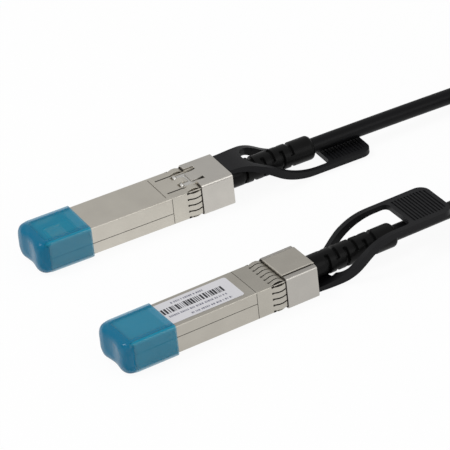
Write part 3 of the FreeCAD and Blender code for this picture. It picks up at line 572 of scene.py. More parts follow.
@dataclass(frozen=True)
class Softener:
    """Copies a CAD node and rounds its sharp edges a little, as moulded and folded edges are.

    Args:
        width: the rounding's width in millimetres.
        segments: how many faces the rounding has.
        edge_angle: edges that turn by more than this many degrees are rounded.
        merge_gap: vertices nearer to each other than this many metres become one.
        flat_angle: faces that meet at less than this many degrees become one.
    """

    width: float
    segments: int = 2
    edge_angle: float = 30.0
    merge_gap: float = 2e-7
    flat_angle: float = 0.6

    def merged(self, node: str, name: str) -> bpy.types.Mesh:
        """The node's mesh with its doubles merged and its flat faces joined.

        Args:
            node: the CAD node.
            name: the new mesh's name.

        Returns:
            The new mesh, smoothly shaded.
        """
        mesh = bmesh.new()
        mesh.from_mesh(bpy.data.objects[node].data)
        bmesh.ops.remove_doubles(mesh, verts=mesh.verts, dist=self.merge_gap)
        flat = math.radians(self.flat_angle)
        bmesh.ops.dissolve_limit(mesh, angle_limit=flat, verts=mesh.verts, edges=mesh.edges)
        data = bpy.data.meshes.new(name)
        mesh.to_mesh(data)
        mesh.free()
        data.polygons.foreach_set("use_smooth", np.ones(len(data.polygons), dtype=bool))
        return data

    def copy(self, node: str, name: str) -> bpy.types.Object:
        """The rounded copy, which replaces the node.

        Args:
            node: the CAD node.
            name: the new piece's name.

        Returns:
            The new piece.
        """
        piece = bpy.data.objects.new(name, self.merged(node, name))
        bpy.context.scene.collection.objects.link(piece)
        bevel = piece.modifiers.new("edge_rounding", "BEVEL")
        bevel.width = self.width * MM
        bevel.segments = self.segments
        bevel.limit_method = "ANGLE"
        bevel.angle_limit = math.radians(self.edge_angle)
        bevel.use_clamp_overlap = True
        even = piece.modifiers.new("flat_faces", "WEIGHTED_NORMAL")
        even.keep_sharp = True
        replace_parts(piece, node)
        return piece


def paint(piece: bpy.types.Object, finish: Finish) -> None:
    """Makes a finish the piece's only material."""
    piece.data.materials.clear()
    piece.data.materials.append(finish.build())


def settle(piece: bpy.types.Object, body: str, finish: Finish) -> bpy.types.Object:
    """Gives a new piece its finish and the body that it moves with.

    Args:
        piece: the piece.
        body: the CAD body that it rides on.
        finish: its finish.

    Returns:
        The same piece.
    """
    paint(piece, finish)
    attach(piece, body)
    log.info("%s rides on %s, finished in %s", piece.name, body, finish.name)
    return piece


def dress_node(node: str, finish: Finish) -> None:
    """Gives a CAD node that stays in view its finish.

    Args:
        node: the CAD node.
        finish: its finish.
    """
    paint(bpy.data.objects[node], finish)
    log.info("%s keeps its own shape, finished in %s", node, finish.name)


@dataclass(frozen=True)
class Boot:
    """The moulded strain relief behind a plug, in millimetres.

    Its skin is one surface of revolution whose radius drops in the slots.

    Args:
        place: the plug's place.
        front: the X of its front, inside the sleeve.
        end: the X of its far end.
        radius: the barrel's radius.
        bore: the radius of its hole.
        bore_lip: how far the hole is wider at the far end.
        bore_ring: how far from the far end the hole has one more ring of points.
        end_round: the radius of the far end's outer edge.
        slot_first: the X of the first slot's middle.
        slot_pitch: from one slot to the next.
        slots: how many slots there are, each a quarter turn on from the one before.
        slot_width: the slots' width along X.
        slot_angle: how far round each slot reaches, in degrees, on both sides of the barrel.
        slot_floor: the radius at the slots' floors.
        edge: the rounding of the slots' edges.
        edge_points: how many rings or lines of points follow one slot edge.
        end_rings: how many rings the rounded end has.
        plain_rings: how many rings are spread along the barrel besides.
        plain_gap: how far these keep from the rounded end.
        plain_lines: how many lines of points are spread round the barrel besides.
    """

    place: PlugPlace
    front: float = 56.85
    end: float = 85.5
    radius: float = 3.5
    bore: float = 2.29
    bore_lip: float = 0.15
    bore_ring: float = 8.0
    end_round: float = 1.3
    slot_first: float = 63.25
    slot_pitch: float = 3.0
    slots: int = 6
    slot_width: float = 1.0
    slot_angle: float = 130.0
    slot_floor: float = 2.6
    edge: float = 0.16
    edge_points: int = 5
    end_rings: int = 9
    plain_rings: int = 34
    plain_gap: float = 0.2
    plain_lines: int = 96

    def stations(self) -> np.ndarray:
        """The places along X where the skin has a ring: close together at each slot's edges.

        Returns:
            The places in order, in millimetres.
        """
        centres = self.slot_first + self.slot_pitch * np.arange(self.slots)
        offsets = np.linspace(-self.edge, self.edge, self.edge_points)
        sides = np.array([-0.5, 0.5])[:, None] * self.slot_width
        edges = centres[:, None, None] + sides + offsets
        rounding = self.end - self.end_round * (1 - np.sin(np.linspace(0, np.pi / 2, self.end_rings)))
        plain = np.linspace(self.front, self.end - self.end_round - self.plain_gap, self.plain_rings)
        return np.unique(np.round(np.concatenate([edges, plain, rounding], axis=None), 4))

    def angles(self) -> np.ndarray:
        """The angles round the axis, from +Y towards +Z: close together at each slot's ends.

        Returns:
            The angles in order, in radians.
        """
        middles = np.arange(4)[:, None, None] * np.pi / 2
        sides = np.array([-0.5, 0.5])[:, None] * math.radians(self.slot_angle)
        offsets = np.linspace(-self.edge, self.edge, self.edge_points) / self.radius
        ends = (middles + sides + offsets) % (2 * np.pi)
        plain = np.linspace(0, 2 * np.pi, self.plain_lines, endpoint=False)
        return np.unique(np.round(np.concatenate([ends, plain], axis=None), 5))

    def skin_radius(self, x: np.ndarray, angle: np.ndarray) -> np.ndarray:
        """The skin's radius: the barrel's, less each slot's depth times two smooth windows.

        The window along X is 1 within half the slot's width of its middle. The window round the axis is
        1 within half the slot's angle of either of its two middles. Both fall off over the edge rounding.
        The far end follows a quarter circle.

        Args:
            x: places along X.
            angle: angles round the axis, in an array that broadcasts with x.

        Returns:
            The radius at every place and angle.
        """
        radius = np.full(np.broadcast(x, angle).shape, self.radius)
        half_width = self.slot_width / 2
        half_angle = math.radians(self.slot_angle / 2)
        spread = self.edge / self.radius
        for index in range(self.slots):
            off = np.abs(x - self.slot_first - self.slot_pitch * index)
            along = fade(off, half_width + self.edge, half_width - self.edge)
            turned = angle - (index % 2) * np.pi / 2
            from_middle = np.abs((turned + np.pi / 2) % np.pi - np.pi / 2)
            round_it = fade(from_middle, half_angle + spread, half_angle - spread)
            radius = radius - (self.radius - self.slot_floor) * along * round_it
        past = np.clip((x - self.end) / self.end_round + 1, 0, 1)
        return radius - self.end_round * (1 - np.sqrt(1 - past**2))

    def build(self) -> bpy.types.Object:
        """Makes the boot: the skin from front to end, then the bore back, closed into one ring.

        Returns:
            The boot.
        """
        x = self.stations()
        angle = self.angles()
        skin = self.skin_radius(x[:, None], angle[None, :])
        bore_x = np.array([self.end, self.end - self.bore_lip, self.end - self.bore_ring, self.front])
        bore_radius = np.array([self.bore + self.bore_lip, self.bore, self.bore, self.bore])
        bore = np.repeat(bore_radius[:, None], angle.size, axis=1)
        radius = np.concatenate([skin, bore])
        along = np.repeat(np.concatenate([x, bore_x])[:, None], angle.size, axis=1)
        up = radius * np.sin(angle) + self.place.cable_z
        points = np.stack([along, radius * np.cos(angle), up], axis=-1)
        faces = grid_faces(*radius.shape, True)
        letter = self.place.letter
        piece = mesh_piece(f"boot_{letter}", self.place.to_part(points), faces, smooth_angle=50.0)
        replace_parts(outward(piece), f"strain_relief_{letter}")
        return settle(piece, ROOT, BOOT_RUBBER)


@dataclass(frozen=True)
class LabelPrint:
    """Plain bars and small dashes on the label, in place of its print, in millimetres.

    Args:
        place: the plug's place.
        face_z: the Z of the label's face.
        sunk: how far the marks reach into the label.
        height: how far they stand out of it.
        bars: the low X, high X, low Y and high Y of the upright bars.
        bar_widths: the bars' widths.
        bar_gaps: the gaps between them.
        rows: for each row of dashes its middle Y, its low X and its high X.
        row_half: half a dash's height.
        dash_width: the shortest and the longest dash.
        dash_gaps: the gaps between dashes.
        seed: the seed of the draws.
    """

    place: PlugPlace
    face_z: float = 4.332
    sunk: float = 0.01
    height: float = 0.012
    bars: tuple[float, float, float, float] = (13.4, 32.4, -0.4, 2.3)
    bar_widths: Triple = (0.17, 0.3, 0.62)
    bar_gaps: Triple = (0.2, 0.3, 0.42)
    rows: tuple[Triple, ...] = ((3.7, 17.6, 28.0), (-1.9, 14.0, 32.0), (-4.0, 19.7, 32.2))
    row_half: float = 0.4
    dash_width: Span = (0.18, 0.5)
    dash_gaps: Triple = (0.18, 0.22, 0.5)
    seed: int = 7

    def marks(
        self, row: tuple[float, ...], width: Callable[[], float], gap: Callable[[], float]
    ) -> list[Block]:
        """Marks set one after another along a row until it is full.

        Args:
            row: its low X, high X, low Y and high Y.
            width: draws a mark's width.
            gap: draws the gap after it.

        Returns:
            The marks as blocks on the label's face.
        """
        start, end, low, high = row
        depth = (self.face_z - self.sunk, self.face_z + self.height)
        blocks = []
        while start < end:
            wide = float(width())
            blocks.append((start, min(start + wide, end), low, high, *depth))
            start += wide + float(gap())
        return blocks

    def build(self) -> None:
        """Makes the upright bars, then the rows of small dashes that stand for lines of print."""
        draw = np.random.default_rng(self.seed)
        letter = self.place.letter
        bar_gap = partial(draw.choice, self.bar_gaps)
        bars = self.marks(self.bars, partial(draw.choice, self.bar_widths), bar_gap)
        dash = partial(draw.uniform, *self.dash_width)
        dash_gap = partial(draw.choice, self.dash_gaps)
        dashes = []
        for y, start, end in self.rows:
            dashes += self.marks((start, end, y - self.row_half, y + self.row_half), dash, dash_gap)
        settle(slabs(f"label_bars_{letter}", self.place, bars), ROOT, LABEL_INK)
        settle(slabs(f"label_dashes_{letter}", self.place, dashes), ROOT, LABEL_TINT)


@dataclass(frozen=True)
class GapShades:
    """Painted shade: dark blocks at the bottom of a plug's narrow gaps, where shade falls in soft light, in
    millimetres.

    A lining's reach says where it lies from the face of the shell, inwards below 0 and outwards above.

    Args:
        place: the plug's place.
        half_w: half the shell's width.
        half_h: half the shell's height.
        thin: the reach of the linings that lie flush with the shell's face.
        seam_x: the parting line between the two shells, along X.
        seam_z: the same, along Z.
        collar_x: the collar's front edge, along X.
        collar_corner: how far that lining keeps from the shell's corners.
        fingers_x: the hollow under the collar's spring fingers, along X.
        fingers_reach: the reach of its lining.
        fingers_corner: how far it keeps from the corners, on the sides and on the label side.
        root_x: the front ends of the slots between the fingers, along X.
        root_half: half the width of a slot's end.
        side_slots: the Z of each slot on the sides.
        top_slots: the Y of each slot on the label side.
        sleeve_x: the gap ahead of the sleeve, along X.
        sleeve_corner: how far its lining keeps from the corners.
        sleeve_side: its reach on the sides.
        sleeve_top: its reach on the label side.
        sleeve_latch: its reach on the latch side.
        sleeve_latch_y: where it starts there, along Y.
        lips: the low X, high X, low Y and high Y of the gaps inside the sleeve's two lips.
        lips_reach: the reach of their linings.
        ridges: the same four of the gaps outside the two ridges on the latch side.
        ridges_reach: the reach of their linings.
        groove: the same four of the groove across the latch side.
        groove_reach: the reach of its lining.
    """

    place: PlugPlace
    half_w: float = 6.775
    half_h: float = 4.25
    thin: Span = (-0.1, 0.012)
    seam_x: Span = (0.3, 38.3)
    seam_z: Span = (0.63, 0.77)
    collar_x: Span = (38.16, 38.3)
    collar_corner: float = 0.35
    fingers_x: Span = (43.45, 47.0)
    fingers_reach: Span = (-0.3, -0.14)
    fingers_corner: Span = (0.65, 0.6)
    root_x: Span = (42.9, 43.7)
    root_half: float = 0.3
    side_slots: tuple[float, ...] = (-3.8, -1.9, 0.0, 1.9, 3.8)
    top_slots: tuple[float, ...] = (-4.75, -2.85, -0.95, 0.95, 2.85, 4.75)
    sleeve_x: Span = (47.2, 47.5)
    sleeve_corner: float = 0.3
    sleeve_side: Span = (-0.3, 0.05)
    sleeve_top: Span = (-0.3, 0.2)
    sleeve_latch: Span = (-0.3, 0.15)
    sleeve_latch_y: float = 4.4
    lips: tuple[float, float, float, float] = (47.7, 56.95, 5.02, 5.38)
    lips_reach: Span = (0.0, 0.2)
    ridges: tuple[float, float, float, float] = (38.4, 43.6, 3.58, 4.05)
    ridges_reach: Span = (-0.15, 0.012)
    groove: tuple[float, float, float, float] = (36.79, 37.01, -5.6, 5.6)
    groove_reach: Span = (-0.15, -0.03)

    def on_side(self, x: Span, z: Span, reach: Span) -> Block:
        """A lining on the +Y side, from its X, its Z and its reach."""
        return (*x, self.half_w + reach[0], self.half_w + reach[1], *z)

    def on_label_side(self, x: Span, y: Span, reach: Span) -> Block:
        """A lining on the label side, from its X, its Y and its reach."""
        return (*x, *y, self.half_h + reach[0], self.half_h + reach[1])

    def on_latch_side(self, x: Span, y: Span, reach: Span) -> Block:
        """A lining on the latch side, from its X, its Y and its reach."""
        return (*x, *y, -self.half_h - reach[1], -self.half_h - reach[0])

    def on_both_sides(self) -> list[Block]:
        """The linings at +Y that stand again at -Y.

        Returns:
            The blocks at +Y.
        """
        collar_z = self.half_h - self.collar_corner
        fingers_z = self.half_h - self.fingers_corner[0]
        sleeve_z = self.half_h - self.sleeve_corner
        sleeve_y = (self.sleeve_latch_y, self.half_w - self.sleeve_corner)
        roots = [(z - self.root_half, z + self.root_half) for z in self.side_slots]
        return [
            self.on_side(self.seam_x, self.seam_z, self.thin),
            self.on_side(self.collar_x, (-collar_z, collar_z), self.thin),
            self.on_side(self.fingers_x, (-fingers_z, fingers_z), self.fingers_reach),
            self.on_side(self.sleeve_x, (-sleeve_z, sleeve_z), self.sleeve_side),
            self.on_label_side(self.lips[:2], self.lips[2:], self.lips_reach),
            self.on_latch_side(self.sleeve_x, sleeve_y, self.sleeve_latch),
            self.on_latch_side(self.ridges[:2], self.ridges[2:], self.ridges_reach),
            *[self.on_side(self.root_x, span, self.thin) for span in roots],
        ]

    def across(self) -> list[Block]:
        """The linings that stand once, across the label side or the latch side.

        Returns:
            The blocks.
        """
        collar_y = self.half_w - self.collar_corner
        fingers_y = self.half_w - self.fingers_corner[1]
        sleeve_y = self.half_w - self.sleeve_corner
        roots = [(y - self.root_half, y + self.root_half) for y in self.top_slots]
        return [
            self.on_label_side(self.collar_x, (-collar_y, collar_y), self.thin),
            self.on_label_side(self.fingers_x, (-fingers_y, fingers_y), self.fingers_reach),
            self.on_label_side(self.sleeve_x, (-sleeve_y, sleeve_y), self.sleeve_top),
            self.on_latch_side(self.groove[:2], self.groove[2:], self.groove_reach),
            *[self.on_label_side(self.root_x, span, self.thin) for span in roots],
        ]

    def build(self) -> bpy.types.Object:
        """Makes the blocks of painted shade.

        Returns:
            One piece that holds them all.
        """
        right = self.on_both_sides()
        left = [(x0, x1, -y1, -y0, z0, z1) for x0, x1, y0, y1, z0, z1 in right]
        piece = slabs(f"gap_shades_{self.place.letter}", self.place, right + left + self.across())
        return settle(piece, ROOT, GAP_SHADE)


def rounded_rectangles(
    half_w: np.ndarray,
    half_h: np.ndarray,
    corner: np.ndarray,
    fullest: float = 0.98,
    arc_points: int = 9,
    side_points: int = 17,
) -> np.ndarray:
    """Rounded rectangles: straight sides between four quarter circles.

    Args:
        half_w: half of each one's width, along Y.
        half_h: half of each one's height, along Z.
        corner: each one's corner radius.
        fullest: the most that this radius may be, as a share of the smaller half.
        arc_points: how many points each quarter circle has.
        side_points: how many points each side has between its ends.

    Returns:
        One row for each rectangle, of points as Y and Z.
    """
    turn = np.linspace(0, np.pi / 2, arc_points)
    quarter = np.arange(4)[:, None] * np.pi / 2 + turn
    sign_y = np.array([1, -1, -1, 1])[:, None]
    sign_z = np.array([1, 1, -1, -1])[:, None]
    radius = np.minimum(corner, np.minimum(half_w, half_h) * fullest)[:, None, None]
    y = sign_y * (half_w[:, None, None] - radius) + radius * np.cos(quarter)
    z = sign_z * (half_h[:, None, None] - radius) + radius * np.sin(quarter)
    arcs = np.stack([y, z], axis=-1)
    share = np.linspace(0, 1, side_points + 2)[1:-1, None]
    sides = arcs[:, :, -1:] * (1 - share) + np.roll(arcs[:, :, :1], -1, axis=1) * share
    return np.concatenate([arcs, sides], axis=2).reshape(len(half_w), -1, 2)


@dataclass(frozen=True)
class CapSkin:
    """One of the cap's two skins, in millimetres: a box with a round front, open at the rim.

    Args:
        front: the X of its front.
        rim: the X of its rim.
        half_w: half its width.
        half_h: half its height.
        rounding: how far its front edges are drawn in.
        corner: the radius of its corners at the rim.
        front_corner: the same at the front.
        squareness: 2 gives the front edges a round curve, more a squarer one.
        corner_start: the X from which the corners grow towards the front.
        least_share: the share of the corner radius that the smallest row keeps.
        front_shares: the sizes of the rows on the flat front, as shares of its whole.
        edge_rows: how many rows go round the front edge.
        side_rows: how many rows go on from there to the rim.
    """

    front: float
    rim: float
    half_w: float
    half_h: float
    rounding: float
    corner: float
    front_corner: float
    squareness: float = 2.5
    corner_start: float = 0.6
    least_share: float = 0.3
    front_shares: tuple[float, ...] = (0.04, 0.2, 0.4, 0.6, 0.8, 0.93)
    edge_rows: int = 14
    side_rows: int = 24

    def rows(self) -> np.ndarray:
        """The skin's rows of points, from the middle of its front to its rim.

        Each row is a rounded rectangle. On the front it grows from the middle. Round the edge X goes back
        by 1 less a power of the cosine while the row's sides stand in by 1 less the same power of the
        sine, both times the rounding. From there the sides run straight.

        Returns:
            The rows, of points as X, Y and Z.
        """
        turn = np.linspace(0, np.pi / 2, self.edge_rows)
        power = 2 / self.squareness
        edge_x = self.front + self.rounding * (1 - np.cos(turn) ** power)
        edge_inset = self.rounding * (1 - np.sin(turn) ** power)
        side_x = np.linspace(self.front + self.rounding, self.rim, self.side_rows)[1:]
        share = np.array(self.front_shares)
        x = np.concatenate([np.full(share.size, self.front), edge_x, side_x])
        inset = np.concatenate([np.full(share.size, self.rounding), edge_inset, np.zeros(side_x.size)])
        scale = np.concatenate([share, np.ones(edge_x.size + side_x.size)])
        corner = self.corner + (self.front_corner - self.corner) * fade(x, self.corner_start, self.front)
        corner = corner * np.maximum(scale, self.least_share)
        yz = rounded_rectangles((self.half_w - inset) * scale, (self.half_h - inset) * scale, corner)
        return np.concatenate([np.broadcast_to(x[:, None, None], (*yz.shape[:2], 1)), yz], axis=-1)


@dataclass(frozen=True)
class CapDepth:
    """How much rubber seems to lie behind a point of the cap, in millimetres, and where its long corners get
    a painted highlight.

    Each span gives the value where an effect starts and the one where it is full.

    Args:
        nose_x: ahead of the plug's nose, along X.
        nose: the depth there.
        broad_z: on the two broad faces, from half the cap's height.
        edge_y: by their long edges, along Y.
        edge_fall: where it ends again, from half the cap's width.
        edge: the depth there.
        highlight_sum: for the painted highlight on the long corners, Y plus Z, from half the width plus half
            the height.
        highlight_x: the same corners, along X.
        corner_highlight: the depth there, below 0 so that the corners are painted lighter than the rest, a
            painted highlight.
    """

    nose_x: Span = (0.8, -0.8)
    nose: float = 0.85
    broad_z: Span = (-1.0, -0.4)
    edge_y: Span = (4.4, 6.0)
    edge_fall: Span = (-0.15, -0.65)
    edge: float = 0.9
    highlight_sum: Span = (-1.0, -0.6)
    highlight_x: Span = (-2.6, -1.4)
    corner_highlight: float = -1.1

    def at(self, points: np.ndarray, half_w: float, half_h: float) -> np.ndarray:
        """The depth: the greater of the nose's and the long edges', turned to the painted highlight's at the
        corners.

        Args:
            points: points of the plug's frame, in millimetres.
            half_w: half the cap's width.
            half_h: half the cap's height.

        Returns:
            The depth at each point.
        """
        x = points[..., 0]
        y = np.abs(points[..., 1])
        z = np.abs(points[..., 2])
        nose = self.nose * fade(x, *self.nose_x)
        broad = fade(z - half_h, *self.broad_z)
        edge = self.edge * broad * fade(y, *self.edge_y) * fade(y - half_w, *self.edge_fall)
        # Painted highlight: the long corners are painted lighter than the rest.
        corner_highlight = fade(y + z - half_w - half_h, *self.highlight_sum) * fade(x, *self.highlight_x)
        return np.maximum(nose, edge) * (1 - corner_highlight) + self.corner_highlight * corner_highlight


@dataclass(frozen=True)
class Cap:
    """The soft dust cap: a thin box with a deep round front, in millimetres.

    Args:
        place: the plug's place.
        front: the X of its front.
        rim: the X of its rim.
        half_w: half its width.
        half_h: half its height.
        wall: its sides' thickness.
        front_wall: its front's thickness.
        front_round: how far its front edges are drawn in.
        corner: the radius of its long corners.
        front_corner: the same at the front.
        inner_corner: the radius of the inside's long corners.
        inner_front_corner: the same at the front.
        rim_round: the rounding of the rim's edges.
        dish: how far the front is hollowed.
        dish_half: half the hollow's width, along Y.
    """

    place: PlugPlace
    front: float = -3.5
    rim: float = 12.9
    half_w: float = 7.375
    half_h: float = 4.85
    wall: float = 0.5
    front_wall: float = 0.9
    front_round: float = 2.3
    corner: float = 0.9
    front_corner: float = 2.3
    inner_corner: float = 0.5
    inner_front_corner: float = 1.6
    rim_round: float = 0.14
    dish: float = 0.5
    dish_half: float = 4.8

    def outer(self) -> np.ndarray:
        """The outer skin's rows, its front hollowed.

        The hollow's depth is the square of 1 less the square of the share of the half width, and fades
        out round the front edge.

        Returns:
            The rows, of points as X, Y and Z.
        """
        rim = self.rim - self.rim_round
        skin = CapSkin(
            self.front, rim, self.half_w, self.half_h, self.front_round, self.corner, self.front_corner
        )
        rows = skin.rows()
        hollow = np.clip(1 - (rows[..., 1] / self.dish_half) ** 2, 0, 1) ** 2
        near = fade(rows[..., 0], self.front + self.front_round, self.front)
        rows[..., 0] += self.dish * hollow * near
        return rows

    def inner(self) -> np.ndarray:
        """The inner skin's rows, a wall's thickness inside the outer one.

        Returns:
            The rows, of points as X, Y and Z.
        """
        return CapSkin(
            self.front + self.front_wall, self.rim - self.rim_round,
            self.half_w - self.wall, self.half_h - self.wall, self.front_round - self.wall,
            self.inner_corner, self.inner_front_corner,
        ).rows()

    def lip(self) -> np.ndarray:
        """The two rows of the rim's flat end, between its rounded edges.

        Returns:
            The rows, of points as X, Y and Z.
        """
        inset = np.array([self.wall - self.rim_round, self.rim_round])
        corner = np.array([self.inner_corner + self.rim_round, self.corner - self.rim_round])
        yz = rounded_rectangles(self.half_w - inset, self.half_h - inset, corner)
        return np.concatenate([np.full((*yz.shape[:2], 1), self.rim), yz], axis=-1)

    def build(self) -> bpy.types.Object:
        """Makes the cap: the inner skin out to the rim, then the outer skin back to the front.

        Returns:
            The cap.
        """
        letter = self.place.letter
        points = np.concatenate([self.inner(), self.lip(), self.outer()[::-1]])
        faces = capped_faces(*points.shape[:2])
        piece = mesh_piece(f"cap_skin_{letter}", self.place.to_part(points), faces, smooth_angle=60.0)
        # The depth attribute darkens the cap where more rubber seems to lie behind it, and paints a highlight
        # along its long corners.
        depth = CapDepth().at(points, self.half_w, self.half_h)
        shade = piece.data.attributes.new("depth", "FLOAT", "POINT")
        shade.data.foreach_set("value", depth.ravel().astype(np.float32))
        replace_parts(outward(piece), f"dust_cap_{letter}")
        return settle(piece, f"cap_{letter}", CAP_SILICONE)


@dataclass(frozen=True)
class ReturnSpring:
    """The small spring behind the release slide's lug, in millimetres.

    Args:
        place: the plug's place.
        coil_radius: from the coil's axis to the middle of the wire.
        wire_radius: the wire's radius.
        length: the spring's length.
        turns: how many turns it has.
        steps_a_turn: how many rings of points each turn has.
        sides: how many points go round the wire.
        keep: the share of its length that is left when the tab is pulled. Not used.
    """

    place: PlugPlace
    coil_radius: float = 0.42
    wire_radius: float = 0.11
    length: float = 4.8
    turns: int = 6
    steps_a_turn: int = 24
    sides: int = 10
    keep: float = 0.585

    def middle(self) -> np.ndarray:
        """The spring's middle in the plug's frame, from its CAD node's box."""
        middle = node_middle(f"return_spring_{self.place.letter}")
        return self.place.turn().T @ (middle - self.place.origin())

    def wire(self) -> np.ndarray:
        """The wire's rings of points about the spring's middle.

        A point of the helix stands at the coil's radius and turns evenly as X grows. The wire's circle
        lies in the plane of the radius and of the radius crossed with the helix's direction.

        Returns:
            The rings, of points as X, Y and Z.
        """
        angle = np.linspace(0, 2 * np.pi * self.turns, self.turns * self.steps_a_turn + 1)
        half = self.length / 2 - self.wire_radius
        x = np.linspace(-half, half, angle.size)
        level = np.zeros_like(angle)
        radial = np.stack([level, np.cos(angle), np.sin(angle)], axis=-1)
        rise = np.full_like(angle, 2 * half / angle[-1] / self.coil_radius)
        ahead = np.stack([rise, -np.sin(angle), np.cos(angle)], axis=-1)
        across = np.cross(radial, ahead / np.linalg.norm(ahead, axis=-1, keepdims=True))
        centre = self.coil_radius * radial + np.stack([x, level, level], axis=-1)
        about = np.linspace(0, 2 * np.pi, self.sides, endpoint=False)[None, :, None]
        circle = np.cos(about) * radial[:, None] + np.sin(about) * across[:, None]
        return centre[:, None] + self.wire_radius * circle

    def build(self) -> bpy.types.Object:
        """Makes the spring.

        Returns:
            The spring.
        """
        letter = self.place.letter
        middle = self.middle()
        points = middle + self.wire()
        faces = capped_faces(*points.shape[:2])
        piece = mesh_piece(f"spring_coil_{letter}", self.place.to_part(points), faces, smooth_angle=60.0)
        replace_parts(outward(piece), f"return_spring_{letter}")
        settle(piece, ROOT, SLIDE_STEEL)
        end = self.place.to_part(middle + np.array([self.length / 2, 0.0, 0.0]))
        along = tuple(self.place.turn()[:, 0])
        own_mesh(piece)
        return piece


@dataclass(frozen=True)
class Plug:
    """One plug and what it carries.

    Args:
        place: its place.
        painted_light_share: how much lighter its metal is painted than the finishes' own, painted light and
            shade for how the light falls on the plug.
        cast: how its cast shells' edges are rounded.
        sheet: the same for its sheet metal.
        rubber: the same for its pull tab.
    """

    place: PlugPlace
    painted_light_share: float = 1.0
    cast: Softener = Softener(0.12)
    sheet: Softener = Softener(0.06)
    rubber: Softener = Softener(0.3, segments=3)

    def rounded(self, node: str, softener: Softener, body: str, finish: Finish) -> bpy.types.Object:
        """A copy of a node with softer edges, dressed and riding on its body.

        Args:
            node: the node's name without the plug's letter.
            softener: how its edges are rounded.
            body: the CAD body that it rides on.
            finish: its finish.

        Returns:
            The new piece.
        """
        letter = self.place.letter
        return settle(softener.copy(f"{node}_{letter}", f"{node}_skin_{letter}"), body, finish)

    def build(self) -> None:
        """Dresses every piece of the plug."""
        letter = self.place.letter
        tab = f"tab_{letter}"
        # Painted light or shade: the metals are painted lighter or darker by the plug's share.
        cast = CAST_NICKEL.painted_light_copy(letter, self.painted_light_share)
        self.rounded("base_shell", self.cast, ROOT, cast)
        self.rounded("cover_shell", self.cast, ROOT, cast)
        self.rounded("emi_collar", self.sheet, ROOT, SPRING_NICKEL.painted_light_copy(letter, self.painted_light_share))
        self.rounded("rear_sleeve", self.sheet, ROOT, SLEEVE_NICKEL.painted_light_copy(letter, self.painted_light_share))
        GapShades(self.place).build()
        self.rounded("release_slide", self.sheet, tab, SLIDE_STEEL)
        self.rounded("pull_tab", self.rubber, tab, TAB_RUBBER)
        ReturnSpring(self.place).build()
        Cap(self.place).build()
        Boot(self.place).build()
        kept = {
            "crimp_ring": CRIMP_BRASS,
            "cable_end": JACKET,
            "paddle_card": BOARD,
            "card_contacts": CONTACT_GOLD,
            "memory_chip": CHIP_RESIN,
            "wire_pairs": PAIR_FOIL,
        }
        for node, finish in kept.items():
            dress_node(f"{node}_{letter}", finish)
        if self.place.side is Side.LABEL_UP:
            dress_node(f"label_{letter}", LABEL_FILM)
            LabelPrint(self.place).build()


